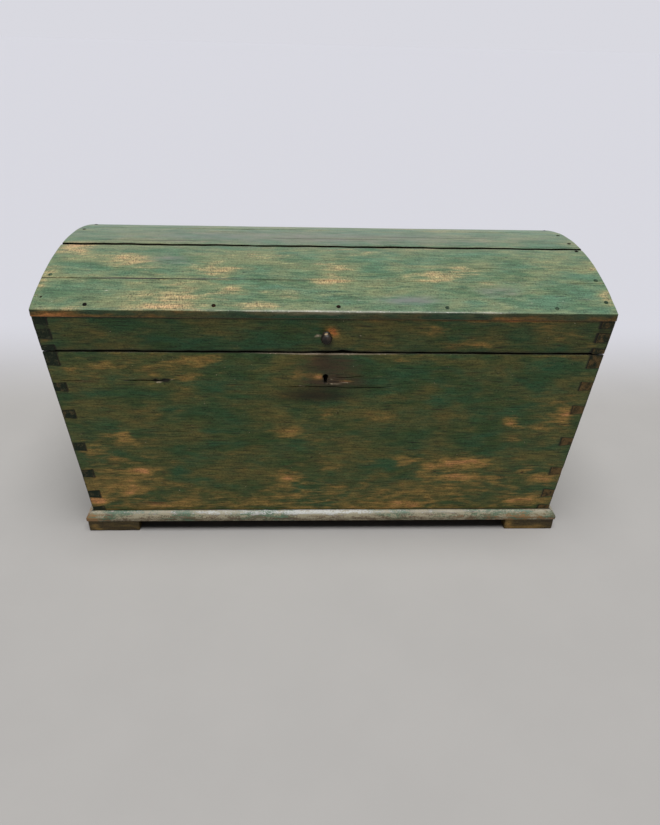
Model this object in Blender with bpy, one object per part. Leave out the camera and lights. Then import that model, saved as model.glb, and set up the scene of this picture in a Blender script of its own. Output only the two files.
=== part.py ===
# Trunk with a domed lid: a dovetailed plank chest on low block feet.
# Metres, +Z up. The front faces -Y. The origin is at the middle of the box that the whole chest
# fills, on the floor. Depths are counted from the face of the front board towards the back.

import math

import bmesh
import bpy
from mathutils import Matrix, Vector

# Overall sizes
lid_length = 1.1535             # over the ends, at the top of the lid's front rail
chest_depth = 0.570             # front face to back face
foot_height = 0.029
wall_height = 0.407             # the four walls, above the floor boards
lid_gap = 0.0025                # dark line between the walls and the lid's rails
rail_height = 0.0735            # the lid's front and back rails
lid_rise = 0.059                # underside of the dome, above the rails' outer top edges
end_splay_share = 0.0905        # how far the ends lean out, per unit of height

# Boards and the gaps between them
board_thickness = 0.026
floor_board_thickness = 0.018
stave_thickness = 0.0145
stave_overhang = 0.0015
seat_gap = 0.0003               # between pieces that touch
open_joint = 0.0024             # the stave joint that has opened
overrun = 0.004                 # how far a cutter stands past what it cuts

# Stave joints at the outer face, as shares of the chest's depth
stave_end_shares = (0.154386, 0.414035, 0.675439, 0.859649)
stave_facets = 4
rail_facets = 20

# Dovetails
pin_height = 0.0165             # the narrow side of a pin, at the end board's outer face
pin_flare = 0.0025              # how much wider each side is at its inner face
wall_foot_pin = 0.012           # half pins at the bottom and the top of the walls
wall_top_pin = 0.029
rail_foot_pin = 0.0095          # and of the lid's rails
rail_top_pin = 0.015
left_pin_shares = (0.120, 0.262, 0.439, 0.643, 0.802)
right_pin_shares = (0.121, 0.275, 0.475, 0.675, 0.818)
rail_pin_shares = (0.490,)

# Floor boards and base moulding
floor_seam_depth = 0.292
moulding_width = 0.0160
moulding_height = 0.0215
moulding_fascia = 0.0085        # the upright lower part of the moulding
moulding_lip = 0.0030           # flat strip at its top, against the wall
moulding_facets = 7

# Feet
foot_length = 0.1155
foot_depth = 0.064
foot_end_inset = 0.0020         # from the moulding's tip to the foot's end
foot_front_inset = 0.0015
foot_easing = 0.0025

# Lid nails: cut nails with low rose heads
nail_head_radius = 0.0046
nail_head_height = 0.0016
nail_rim_height = 0.0006
nail_rose_share = 0.7           # of the head's rise above its rim, half way in
nail_shank_radius = 0.0016
nail_tip_radius = 0.0008
nail_length = 0.030
nail_sides = 8
front_nail_depth = 0.0115
front_nail_shares = (-0.4106, -0.1953, 0.0166, 0.2039, 0.3955)
end_nail_inset = 0.0155
end_nail_clearance = 0.0037     # the outermost ones, inside the pins' shoulders
end_nail_shares = (0.171930, 0.617544, 0.784211)
right_extra_shares = (0.396491, 0.484211)

# Knob and keyhole
centre_offset = -0.004          # both sit a little left of the middle
knob_length = 0.0265
knob_radius = 0.0115
knob_neck_radius = 0.0072
knob_foot_radius = 0.0092
knob_foot_length = 0.0022
knob_neck_place = 0.0065        # narrowest place of the neck, from the rail
knob_widest_place = 0.0165
knob_tenon_radius = 0.0050
knob_sides = 24
keyhole_setback = 0.0531        # centre of its round top, below the walls' top edge
keyhole_radius = 0.0055
keyhole_slot_width = 0.0052
keyhole_drop = 0.0134           # from that centre to the bottom of the slot
keyhole_facets = 16

# Hinges
hinge_place_share = 0.29        # of the lid's length, from the middle
hinge_width = 0.044
leaf_thickness = 0.0025
leaf_tip_width = 0.026
lower_leaf_length = 0.150
upper_leaf_length = 0.064
leaf_point = 0.016              # length of the pointed end
middle_knuckle = 0.0160
knuckle_radius = 0.0055
knuckle_shoulder = 0.0012       # room beside the other leaf's knuckle
barrel_standoff = 0.0002
hinge_pin_radius = 0.0025
hinge_pin_end = 0.0015          # how far a pin stands out of its knuckles
hinge_sides = 16
lower_leaf_nail_shares = (0.30, 0.84)
upper_leaf_nail_shares = (0.38, 0.74)
leaf_nail_length = 0.020

# Lock
lock_side_margin = 0.0082       # free room beside the thrown bolt
lock_foot_margin = 0.0080       # and below the keyhole
lock_case_depth = 0.0205
lock_wall = 0.0018
lock_plate_thickness = 0.0020
lock_top_inset = 0.0015         # below the walls' top edge
bolt_length = 0.062
bolt_height = 0.0100
bolt_thickness = 0.0050
key_reach = 0.0191              # from the keyhole's centre to the bolt's lower edge
bolt_throw = 0.0120
bolt_talon_width = 0.0080       # the notch that the key's bit turns in
bolt_talon_depth = 0.0030
bolt_start_gap = 0.0020         # between the withdrawn bolt and the catch's eye
guide_width = 0.0080
guide_wall = 0.0030
guide_tip_gap = 0.0020          # from the withdrawn bolt's tip to the nearer guide
catch_place = 0.0300            # the catch's eye, to the right of the keyhole
catch_plate_width = 0.052
catch_plate_height = 0.036
catch_plate_thickness = 0.0022
catch_plate_rise = 0.0040       # from the rail's lower edge to the plate's
eye_root_share = 0.5            # how far up the plate the eye's ear reaches
eye_lap_share = 0.25            # and how far up the ear the hanging part does
eye_thickness = 0.0040
eye_wall = 0.0030
eye_clearance = 0.0008          # around the bolt in the eye
eye_slot_clearance = 0.0012     # around the eye in the case's top
key_tip_radius = 0.0030
spring_thickness = 0.0012
spring_width = 0.0045
spring_facets = 10

# Heights and places that follow
wall_bottom = foot_height + floor_board_thickness + seat_gap
wall_top = wall_bottom + wall_height
keyhole_height = wall_top - keyhole_setback
rail_bottom = wall_top + lid_gap
rail_top = rail_bottom + rail_height
lid_rest = wall_top + seat_gap
under_radius = ((chest_depth / 2) ** 2 + lid_rise ** 2) / (2 * lid_rise)
dome_radius = under_radius + stave_thickness
dome_centre = rail_top + lid_rise - under_radius
barrel_depth = seat_gap + barrel_standoff + knuckle_radius
front_y = (knob_length - chest_depth - barrel_depth - knuckle_radius) / 2
shoulder = board_thickness + seat_gap

# Finishes: colour, roughness, metallic
finishes = {
    "green_front_paint": ((0.055, 0.120, 0.060), 0.42, 0.0),
    "green_lid_paint": ((0.110, 0.185, 0.110), 0.45, 0.0),
    "dark_end_paint": ((0.040, 0.085, 0.045), 0.48, 0.0),
    "pale_moulding_paint": ((0.240, 0.250, 0.150), 0.45, 0.0),
    "worn_foot_paint": ((0.130, 0.085, 0.035), 0.55, 0.0),
    "bare_pine": ((0.420, 0.270, 0.130), 0.70, 0.0),
    "old_iron": ((0.060, 0.052, 0.046), 0.55, 0.85),
    "knob_wood": ((0.060, 0.040, 0.028), 0.38, 0.0),
}


def at_depth(depth):
    """Y of a point this far behind the front face."""
    return front_y + depth


def outer_x(height):
    """Half the chest's length at a height, over the leaning ends."""
    return lid_length / 2 + end_splay_share * (height - rail_top)


def inner_x(height):
    """The same, to the end boards' inner faces."""
    return outer_x(height) - board_thickness


def dome_height(depth, radius):
    """Height of an arc about the dome's centre, at a depth."""
    return dome_centre + math.sqrt(radius ** 2 - (depth - chest_depth / 2) ** 2)


def dome_angle(depth):
    """Angle from straight up of the outer face's normal at a depth, positive towards the back."""
    return math.asin((depth - chest_depth / 2) / dome_radius)


def dome_point(angle, radius):
    """Depth and height of a point on an arc about the dome's centre."""
    return chest_depth / 2 + radius * math.sin(angle), dome_centre + radius * math.cos(angle)


# Making objects

def make_finish(name, finish):
    """A Principled material named after its piece."""
    colour, roughness, metallic = finishes[finish]
    material = bpy.data.materials.new(name + "_" + finish)
    material.use_nodes = True
    shader = material.node_tree.nodes["Principled BSDF"]
    shader.inputs["Base Color"].default_value = (*colour, 1.0)
    shader.inputs["Roughness"].default_value = roughness
    shader.inputs["Metallic"].default_value = metallic
    material.diffuse_color = (*colour, 1.0)
    return material


def solid_from(name, corners, faces):
    """An object from points and faces, its faces turned outwards."""
    shape = bmesh.new()
    points = [shape.verts.new(corner) for corner in corners]
    for face in faces:
        shape.faces.new([points[index] for index in face])
    bmesh.ops.recalc_face_normals(shape, faces=shape.faces)
    mesh = bpy.data.meshes.new(name)
    shape.to_mesh(mesh)
    shape.free()
    piece = bpy.data.objects.new(name, mesh)
    bpy.context.scene.collection.objects.link(piece)
    return piece


def between_outlines(name, first, last):
    """A closed solid between two outlines with the same number of points."""
    count = len(first)
    faces = [list(range(count)), list(range(count, 2 * count))]
    for index in range(count):
        following = (index + 1) % count
        faces.append([index, following, count + following, count + index])
    return solid_from(name, list(first) + list(last), faces)


def block(name, low, high):
    """A box between two corners."""
    first = [(x, y, low[2]) for x, y in
             ((low[0], low[1]), (high[0], low[1]), (high[0], high[1]), (low[0], high[1]))]
    last = [(x, y, high[2]) for x, y, z in first]
    return between_outlines(name, first, last)


def turned(name, profile, sides, turn, centre):
    """A lathe shape: (radius, height) pairs about local Z, its two ends on the axis."""
    ring = [(math.cos(2 * math.pi * k / sides), math.sin(2 * math.pi * k / sides)) for k in range(sides)]
    inside = profile[1:-1]
    corners = [(r * c, r * s, h) for r, h in inside for c, s in ring]
    foot, tip = len(corners), len(corners) + 1
    corners += [(0, 0, profile[0][1]), (0, 0, profile[-1][1])]
    faces = []
    for k in range(sides):
        following = (k + 1) % sides
        faces.append([foot, following, k])
        for row in range(len(inside) - 1):
            start, above = row * sides, (row + 1) * sides
            faces.append([start + k, start + following, above + following, above + k])
        last = (len(inside) - 1) * sides
        faces.append([last + k, last + following, tip])
    return solid_from(name, [turn @ Vector(corner) + Vector(centre) for corner in corners], faces)


def combine(piece, other, operation):
    """A Boolean of two shapes, kept in the first; the second is used up."""
    change = piece.modifiers.new(operation.lower(), "BOOLEAN")
    change.operation = operation
    change.solver = "EXACT"
    change.object = other
    bpy.context.view_layer.update()
    evaluated = piece.evaluated_get(bpy.context.evaluated_depsgraph_get())
    result = bpy.data.meshes.new_from_object(evaluated)
    piece.modifiers.clear()
    old = piece.data
    piece.data = result
    bpy.data.meshes.remove(old)
    bpy.data.objects.remove(other)


def cut(piece, cutter):
    combine(piece, cutter, "DIFFERENCE")


def join(piece, other):
    combine(piece, other, "UNION")


def finish_piece(piece, name, finish, origin, carrier=None, smooth=False):
    """Names a piece, gives it its finish, and moves its origin without moving its shape."""
    piece.name = name
    piece.data.name = name
    origin = Vector(origin)
    piece.data.transform(Matrix.Translation(-origin))
    piece.location = origin
    if carrier is not None:
        piece.parent = carrier
        piece.location = origin - carrier.location
    piece.data.materials.clear()
    piece.data.materials.append(make_finish(name, finish))
    if smooth:
        piece.data.shade_smooth()
        piece.data.set_sharp_from_angle(angle=math.radians(40))
    return piece


# Dovetails

def pin_spans(bottom, top, shares, foot_pin, top_pin, flare, growth):
    """Where each pin begins and ends in height: the foot's half pin, the whole pins, the top's."""
    spans = [(bottom, bottom + foot_pin + flare + growth)]
    for share in shares:
        middle = bottom + share * (top - bottom)
        reach = pin_height / 2 + flare + growth
        spans.append((middle - reach, middle + reach))
    spans.append((top - top_pin - flare - growth, top))
    return spans


def tailed_edge(bottom, top, shares, foot_pin, top_pin):
    """(half length, height) pairs up one end of a board with tails: sockets wider on their inside."""
    outside = pin_spans(bottom, top, shares, foot_pin, top_pin, 0.0, seat_gap)
    inside = pin_spans(bottom, top, shares, foot_pin, top_pin, pin_flare, seat_gap)
    edge = []
    last = len(outside) - 1
    for index, (narrow, wide) in enumerate(zip(outside, inside)):
        if index > 0:
            edge.append((outer_x(narrow[0]), narrow[0]))
        edge.append((inner_x(wide[0]) - seat_gap, wide[0]))
        edge.append((inner_x(wide[1]) - seat_gap, wide[1]))
        if index < last:
            edge.append((outer_x(narrow[1]), narrow[1]))
    return edge


def tailed_board(name, bottom, top, top_rise, left_shares, right_shares, pins, near, far):
    """A front or back board, from depth near to depth far, its top edge rising by top_rise."""
    right = tailed_edge(bottom, top, right_shares, *pins)
    left = tailed_edge(bottom, top, left_shares, *pins)
    outline = [(x, z) for x, z in right] + [(-x, z) for x, z in reversed(left)]
    first = [(x, at_depth(near), z) for x, z in outline]
    last = []
    for x, z in outline:
        height = z + top_rise if z == top else z
        last.append((x, at_depth(far), height))
    return between_outlines(name, first, last)


def pinned_edge(spans, bottom, top):
    """(depth, height) pairs up the front edge of an end board: pins reach to the front face."""
    edge = []
    last = len(spans) - 1
    for index, (low, high) in enumerate(spans):
        if index > 0:
            edge.append((shoulder, low))
        edge.append((0.0, bottom if index == 0 else low))
        edge.append((0.0, top if index == last else high))
        if index < last:
            edge.append((shoulder, high))
    return edge


def pinned_board(name, side, bottom, top, shares, pins, rest, crown):
    """An end board that leans outwards, its pins front and back; crown lists its top edge."""
    faces = []
    for flare, reach in ((pin_flare, inner_x), (0.0, outer_x)):
        spans = pin_spans(bottom, top, shares, *pins, flare, 0.0)
        front = pinned_edge(spans, bottom, top)
        back = [(chest_depth - depth, height) for depth, height in reversed(front)]
        under = [] if rest == bottom else [(chest_depth - shoulder, bottom), (chest_depth - shoulder, rest),
                                           (shoulder, rest), (shoulder, bottom)]
        outline = front + crown + back + under
        faces.append([(side * reach(height), at_depth(depth), height) for depth, height in outline])
    return between_outlines(name, *faces)


# Walls, floor, moulding and feet

def build_walls():
    wall_pins = (wall_foot_pin, wall_top_pin)
    for name, near in (("front_board", 0.0), ("back_board", chest_depth - board_thickness)):
        far = near + board_thickness
        piece = tailed_board(name, wall_bottom, wall_top, 0.0, left_pin_shares, right_pin_shares,
                             wall_pins, near, far)
        if name == "front_board":
            cut(piece, keyhole_cutter(0.0, board_thickness))
        else:
            cut_leaf_nail_holes(piece, "lower")
        finish_piece(piece, name, "green_front_paint", (0, at_depth(near), wall_bottom))
    for name, side, shares in (("left_end_board", -1, left_pin_shares),
                               ("right_end_board", 1, right_pin_shares)):
        piece = pinned_board(name, side, wall_bottom, wall_top, shares, wall_pins, wall_bottom, [])
        finish_piece(piece, name, "dark_end_paint", (side * outer_x(wall_bottom), at_depth(0), wall_bottom))


def build_floor():
    low, high = foot_height, foot_height + floor_board_thickness
    spans = (("front_floor_board", 0.0, floor_seam_depth - seat_gap / 2),
             ("rear_floor_board", floor_seam_depth + seat_gap / 2, chest_depth))
    for name, near, far in spans:
        outline = ((-outer_x(low), low), (outer_x(low), low), (outer_x(high), high), (-outer_x(high), high))
        first, last = ([(x, at_depth(depth), z) for x, z in outline] for depth in (near, far))
        piece = between_outlines(name, first, last)
        finish_piece(piece, name, "bare_pine", (0, at_depth(near), low))


def moulding_profile():
    """(reach out, height) pairs: an upright fascia and a quarter round above it."""
    crown = moulding_height - moulding_fascia
    points = [(seat_gap, foot_height), (moulding_width, foot_height)]
    for step in range(moulding_facets + 1):
        angle = math.pi / 2 * step / moulding_facets
        points.append((moulding_lip + (moulding_width - moulding_lip) * math.cos(angle),
                       foot_height + moulding_fascia + crown * math.sin(angle)))
    points.append((seat_gap, foot_height + moulding_height))
    return points


def build_moulding():
    profile = moulding_profile()
    mitre_shift = seat_gap / math.sqrt(2)
    ends = [[(side * (outer_x(z) + reach - mitre_shift), at_depth(-reach), z) for reach, z in profile]
            for side in (-1, 1)]
    piece = between_outlines("front_moulding", *ends)
    finish_piece(piece, "front_moulding", "pale_moulding_paint", (0, at_depth(0), foot_height), smooth=True)
    for name, side in (("left_moulding", -1), ("right_moulding", 1)):
        first = [(side * (outer_x(z) + reach), at_depth(mitre_shift - reach), z) for reach, z in profile]
        last = [(side * (outer_x(z) + reach), at_depth(chest_depth), z) for reach, z in profile]
        piece = between_outlines(name, first, last)
        origin = (side * outer_x(foot_height), at_depth(0), foot_height)
        finish_piece(piece, name, "pale_moulding_paint", origin, smooth=True)


def build_feet():
    tip = outer_x(foot_height) + moulding_width - foot_end_inset
    front = foot_front_inset - moulding_width
    places = (("front_left_foot", -1, front), ("front_right_foot", 1, front),
              ("rear_left_foot", -1, chest_depth - foot_depth),
              ("rear_right_foot", 1, chest_depth - foot_depth))
    for name, side, near in places:
        ends = sorted((side * tip, side * (tip - foot_length)))
        piece = block(name, (ends[0], at_depth(near), 0.0),
                      (ends[1], at_depth(near + foot_depth), foot_height - seat_gap))
        finish_piece(piece, name, "worn_foot_paint", (side * tip, at_depth(near), 0))
        easing = piece.modifiers.new("easing", "BEVEL")
        easing.width = foot_easing
        easing.segments = 2


# Lid

def build_lid_frame(hinge):
    rail_pins = (rail_foot_pin, rail_top_pin)
    front_top = dome_height(0.0, under_radius) - seat_gap
    top_rise = dome_height(board_thickness, under_radius) - seat_gap - front_top
    back_near = chest_depth - board_thickness
    front = tailed_board("lid_front_rail", rail_bottom, front_top, top_rise,
                         rail_pin_shares, rail_pin_shares, rail_pins, 0.0, board_thickness)
    cut(front, nail_cutters(front_nails()))
    cut(front, knob_tenon_cutter())
    finish_piece(front, "lid_front_rail", "green_front_paint", (0, at_depth(0), rail_bottom), hinge)
    back = tailed_board("lid_back_rail", rail_bottom, front_top, top_rise,
                        rail_pin_shares, rail_pin_shares, rail_pins, chest_depth, back_near)
    cut_leaf_nail_holes(back, "upper")
    finish_piece(back, "lid_back_rail", "green_front_paint", (0, at_depth(back_near), rail_bottom), hinge)
    crown = []
    for step in range(1, rail_facets):
        depth = chest_depth * step / rail_facets
        crown.append((depth, dome_height(depth, under_radius) - seat_gap))
    for name, side in (("lid_left_end", -1), ("lid_right_end", 1)):
        piece = pinned_board(name, side, rail_bottom, front_top, rail_pin_shares, rail_pins, lid_rest, crown)
        cut(piece, stave_end_trimmer(side))
        cut(piece, nail_cutters(end_nails(side)))
        origin = (side * outer_x(rail_bottom), at_depth(0), rail_bottom)
        finish_piece(piece, name, "dark_end_paint", origin, hinge)


def stave_half():
    """Half the staves' length: their ends are upright, flush with the front rail's top corners."""
    return lid_length / 2


def stave_end_trimmer(side):
    """What an end board loses under the dome, where it would lean out past the staves' ends."""
    inner, outer = side * (stave_half() - seat_gap), side * (stave_half() + lid_length)
    return block("trimmer", (min(inner, outer), at_depth(-overrun), rail_bottom),
                 (max(inner, outer), at_depth(chest_depth + overrun), dome_centre + dome_radius))


def stave_outline(near, far):
    """(depth, height) pairs around one stave: outer arc to the back, under arc to the front.

    A joint between staves is square to the dome; the first and last edges are upright.
    """
    outer, under, edges = [], [], []
    for depth in (near, far):
        if 0.0 < depth < chest_depth:
            edges.append((dome_angle(depth), dome_angle(depth)))
        else:
            past = depth - chest_depth / 2
            edges.append((math.asin(past / dome_radius), math.asin(past / under_radius)))
    for step in range(stave_facets + 1):
        share = step / stave_facets
        outer_angle = edges[0][0] + share * (edges[1][0] - edges[0][0])
        under_angle = edges[0][1] + share * (edges[1][1] - edges[0][1])
        outer.append(dome_point(outer_angle, dome_radius))
        under.append(dome_point(under_angle, under_radius))
    return outer + under[::-1]


def build_staves(hinge):
    half_open, half_shut = open_joint / 2, seat_gap / 2
    first, second, third, fourth = (share * chest_depth for share in stave_end_shares)
    places = (("front_stave", -stave_overhang, first - half_shut),
              ("second_stave", first + half_shut, second - half_open),
              ("crest_stave", second + half_open, third - half_shut),
              ("fourth_stave", third + half_shut, fourth - half_shut),
              ("rear_stave", fourth + half_shut, chest_depth + stave_overhang))
    nails = front_nails() + end_nails(-1) + end_nails(1)
    for name, near, far in places:
        outline = stave_outline(near, far)
        ends = [[(side * stave_half(), at_depth(depth), height) for depth, height in outline]
                for side in (-1, 1)]
        piece = between_outlines(name, *ends)
        own = [nail for nail in nails if near < nail[2] < far]
        cut(piece, nail_cutters(own))
        middle = (near + far) / 2
        origin = (0, at_depth(middle), dome_height(middle, dome_radius))
        finish_piece(piece, name, "green_lid_paint", origin, hinge, smooth=True)


# Nails

def front_nails():
    """(name, x, depth) of the row through the front stave into the rail."""
    return [("front_nail_%d" % (index + 1), share * lid_length, front_nail_depth)
            for index, share in enumerate(front_nail_shares)]


def end_nails(side):
    """(name, x, depth) of the nails into one end board."""
    first = shoulder + end_nail_clearance
    shares = end_nail_shares + (right_extra_shares if side > 0 else ())
    depths = [first] + sorted(share * chest_depth for share in shares) + [chest_depth - first]
    word = "left" if side < 0 else "right"
    nails = []
    for index, depth in enumerate(depths):
        nails.append(("%s_end_nail_%d" % (word, index + 1), side * (stave_half() - end_nail_inset), depth))
    return nails


def nail_profile(length, growth):
    """(radius, height) pairs, from the tip up; growth widens a nail into its hole."""
    shank = [(0.0, -length - growth), (nail_tip_radius + growth, -length - growth)]
    if growth > 0:
        wide = nail_shank_radius + growth
        return shank + [(wide, 0.0), (wide, overrun), (0.0, overrun)]
    rose = nail_rim_height + (nail_head_height - nail_rim_height) * nail_rose_share
    return shank + [(nail_shank_radius, 0.0), (nail_head_radius, 0.0), (nail_head_radius, nail_rim_height),
                    (nail_head_radius / 2, rose), (0.0, nail_head_height)]


def lid_nail(name, x, depth, growth):
    """A nail square to the dome, its head just clear of the stave."""
    angle = dome_angle(depth)
    turn = Matrix.Rotation(-angle, 3, "X")
    out, up = dome_point(angle, dome_radius + seat_gap)
    return turned(name, nail_profile(nail_length, growth), nail_sides, turn, (x, at_depth(out), up))


def nail_cutters(nails):
    """One shape with a hole's form for each nail."""
    pieces = [lid_nail("nail_hole", x, depth, seat_gap) for name, x, depth in nails]
    return gathered(pieces)


def gathered(pieces):
    """Moves the faces of separate shapes into the first one's mesh."""
    shape = bmesh.new()
    for piece in pieces:
        shape.from_mesh(piece.data)
    shape.to_mesh(pieces[0].data)
    shape.free()
    for piece in pieces[1:]:
        bpy.data.objects.remove(piece)
    return pieces[0]


def build_lid_nails(hinge):
    for name, x, depth in front_nails() + end_nails(-1) + end_nails(1):
        piece = lid_nail(name, x, depth, 0.0)
        out, up = dome_point(dome_angle(depth), dome_radius)
        finish_piece(piece, name, "old_iron", (x, at_depth(out), up), hinge, smooth=True)


# Knob

def knob_place():
    """Middle of the rail's front face, where the knob stands."""
    return centre_offset, (rail_bottom + rail_top) / 2


def knob_tenon_cutter():
    x, height = knob_place()
    turn = Matrix.Rotation(-math.pi / 2, 3, "X")
    profile = [(0.0, -overrun), (knob_tenon_radius + seat_gap, -overrun),
               (knob_tenon_radius + seat_gap, board_thickness + overrun), (0.0, board_thickness + overrun)]
    return turned("knob_hole", profile, knob_sides, turn, (x, at_depth(0), height))


def build_knob(hinge):
    """A turned knob: foot ring, hollow neck, round head; its tenon runs through the rail."""
    x, height = knob_place()
    head = []
    for degrees in range(-50, 90, 15):
        angle = math.radians(degrees)
        reach = knob_length - knob_widest_place if degrees > 0 else knob_widest_place - knob_neck_place
        head.append((knob_radius * math.cos(angle), knob_widest_place + reach * math.sin(angle)))
    profile = [(0.0, -board_thickness), (knob_tenon_radius, -board_thickness), (knob_tenon_radius, seat_gap),
               (knob_foot_radius, seat_gap), (knob_foot_radius, knob_foot_length),
               (knob_neck_radius, knob_neck_place)] + head + [(0.0, knob_length)]
    turn = Matrix.Rotation(math.pi / 2, 3, "X")
    piece = turned("knob", profile, knob_sides, turn, (x, at_depth(0), height))
    finish_piece(piece, "knob", "knob_wood", (x, at_depth(0), height), hinge, smooth=True)


# Hinges

def hinge_axis():
    """Depth and height of the hinge line."""
    return chest_depth + barrel_depth, wall_top + lid_gap / 2


def leaf_outline(length, up, middle):
    """(x, height) pairs around a leaf that tapers to a blunt point; middle has the single knuckle."""
    sign = 1 if up else -1
    half, tip = hinge_width / 2, leaf_tip_width / 2
    clear = knuckle_radius + knuckle_shoulder
    notch = middle_knuckle / 2
    ends = [(half, clear), (tip, length - leaf_point), (tip / 2, length)]
    if middle:
        neck = [(notch - seat_gap, 0.0), (notch - seat_gap, clear)]
    else:
        neck = [(notch, clear), (notch, 0.0), (half, 0.0)]
    right = neck + ends
    left = [(-x, z) for x, z in reversed(right)]
    return [(x, sign * z) for x, z in right + left]


def knuckle(low, high, radius, name):
    """A round bar along X between two places, about the hinge line at x 0."""
    depth, height = hinge_axis()
    profile = [(0.0, low), (radius, low), (radius, high), (0.0, high)]
    turn = Matrix.Rotation(math.pi / 2, 3, "Y")
    return turned(name, profile, hinge_sides, turn, (0, at_depth(depth), height))


def leaf_nails(which):
    """(x, height) pairs of one leaf's nails."""
    depth, height = hinge_axis()
    if which == "lower":
        return [(0.0, height - share * lower_leaf_length) for share in lower_leaf_nail_shares]
    return [(0.0, height + share * upper_leaf_length) for share in upper_leaf_nail_shares]


def leaf_nail(name, x, height, growth):
    """A nail that points to the front, its head just clear of the leaf."""
    turn = Matrix.Rotation(-math.pi / 2, 3, "X")
    depth = chest_depth + seat_gap + leaf_thickness + seat_gap
    profile = nail_profile(leaf_nail_length, growth)
    return turned(name, profile, nail_sides, turn, (x, at_depth(depth), height))


def hinge_places():
    place = hinge_place_share * lid_length
    return (("left", -place), ("right", place))


def cut_leaf_nail_holes(piece, which):
    """Holes for both hinges' nails in a back board or rail."""
    for word, place in hinge_places():
        for x, height in leaf_nails(which):
            cut(piece, leaf_nail("leaf_nail_hole", place + x, height, seat_gap))


def build_leaf(name, place, which, carrier):
    upper = which == "upper"
    depth, height = hinge_axis()
    near = chest_depth + seat_gap
    outline = leaf_outline(upper_leaf_length if upper else lower_leaf_length, upper, upper)
    first, last = ([(x, at_depth(level), height + z) for x, z in outline]
                   for level in (near, near + leaf_thickness))
    piece = between_outlines(name, first, last)
    notch, half = middle_knuckle / 2, hinge_width / 2
    spans = [(seat_gap - notch, notch - seat_gap)] if upper else [(-half, -notch), (notch, half)]
    for low, high in spans:
        join(piece, knuckle(low, high, knuckle_radius, "knuckle"))
    cut(piece, knuckle(-half - overrun, half + overrun, hinge_pin_radius + seat_gap, "pin_bore"))
    for x, level in leaf_nails(which):
        cut(piece, leaf_nail("leaf_nail_hole", x, level, seat_gap))
    piece.data.transform(Matrix.Translation((place, 0, 0)))
    finish_piece(piece, name, "old_iron", (place, at_depth(depth), height), carrier, smooth=True)


def build_hinges(hinge):
    depth, height = hinge_axis()
    reach = hinge_width / 2 + hinge_pin_end
    for word, place in hinge_places():
        build_leaf(word + "_lower_leaf", place, "lower", None)
        build_leaf(word + "_upper_leaf", place, "upper", hinge)
        pin = knuckle(-reach, reach, hinge_pin_radius, "pin")
        pin.data.transform(Matrix.Translation((place, 0, 0)))
        finish_piece(pin, word + "_hinge_pin", "old_iron", (place, at_depth(depth), height), smooth=True)
        for which, carrier in (("lower", None), ("upper", hinge)):
            for index, (x, level) in enumerate(leaf_nails(which)):
                name = "%s_%s_leaf_nail_%d" % (word, which, index + 1)
                nail = leaf_nail(name, place + x, level, 0.0)
                finish_piece(nail, name, "old_iron", (place, at_depth(depth), level), carrier, smooth=True)


# Lock

lock_middle = centre_offset
lock_high = wall_top - lock_top_inset
lock_low = keyhole_height - keyhole_drop - lock_foot_margin
plate_near = board_thickness + seat_gap
case_near = plate_near + lock_plate_thickness + seat_gap
case_far = case_near + lock_case_depth
bolt_middle_depth = (case_near + case_far - lock_wall) / 2
bolt_low = keyhole_height + key_reach
bolt_high = bolt_low + bolt_height
eye_left = lock_middle + catch_place
bolt_right = eye_left - bolt_start_gap
bolt_left = bolt_right - bolt_length
bolt_reach = max(lock_middle - bolt_left, bolt_right + bolt_throw - lock_middle)
lock_half = bolt_reach + lock_side_margin + lock_wall


def keyhole_cutter(near, far):
    """A round hole with a slot below it, through whatever lies between two depths."""
    half = keyhole_slot_width / 2
    start = math.asin(half / keyhole_radius)
    outline = [(-half, -keyhole_drop), (half, -keyhole_drop)]
    for step in range(keyhole_facets + 1):
        angle = -math.pi / 2 + start + (2 * math.pi - 2 * start) * step / keyhole_facets
        outline.append((keyhole_radius * math.cos(angle), keyhole_radius * math.sin(angle)))
    ends = [[(lock_middle + x, at_depth(depth), keyhole_height + z) for x, z in outline]
            for depth in (near - overrun, far + overrun)]
    return between_outlines("keyhole", *ends)


def build_lock_plate():
    piece = block("lock_plate", (lock_middle - lock_half, at_depth(plate_near), lock_low),
                  (lock_middle + lock_half, at_depth(plate_near + lock_plate_thickness), lock_high))
    cut(piece, keyhole_cutter(plate_near, plate_near + lock_plate_thickness))
    finish_piece(piece, "lock_plate", "old_iron", (lock_middle, at_depth(plate_near), lock_low))


def guide_block(x):
    """A block on the case's back wall with a window that the bolt slides through."""
    half = guide_width / 2
    reach = guide_wall + seat_gap
    near = bolt_middle_depth - bolt_thickness / 2 - reach
    piece = block("guide", (x - half, at_depth(near), bolt_low - reach),
                  (x + half, at_depth(case_far - lock_wall / 2), bolt_high + reach))
    window = block("window", (x - half - overrun, at_depth(near + guide_wall), bolt_low - seat_gap),
                   (x + half + overrun, at_depth(near + guide_wall + bolt_thickness + 2 * seat_gap),
                    bolt_high + seat_gap))
    cut(piece, window)
    return piece


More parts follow.
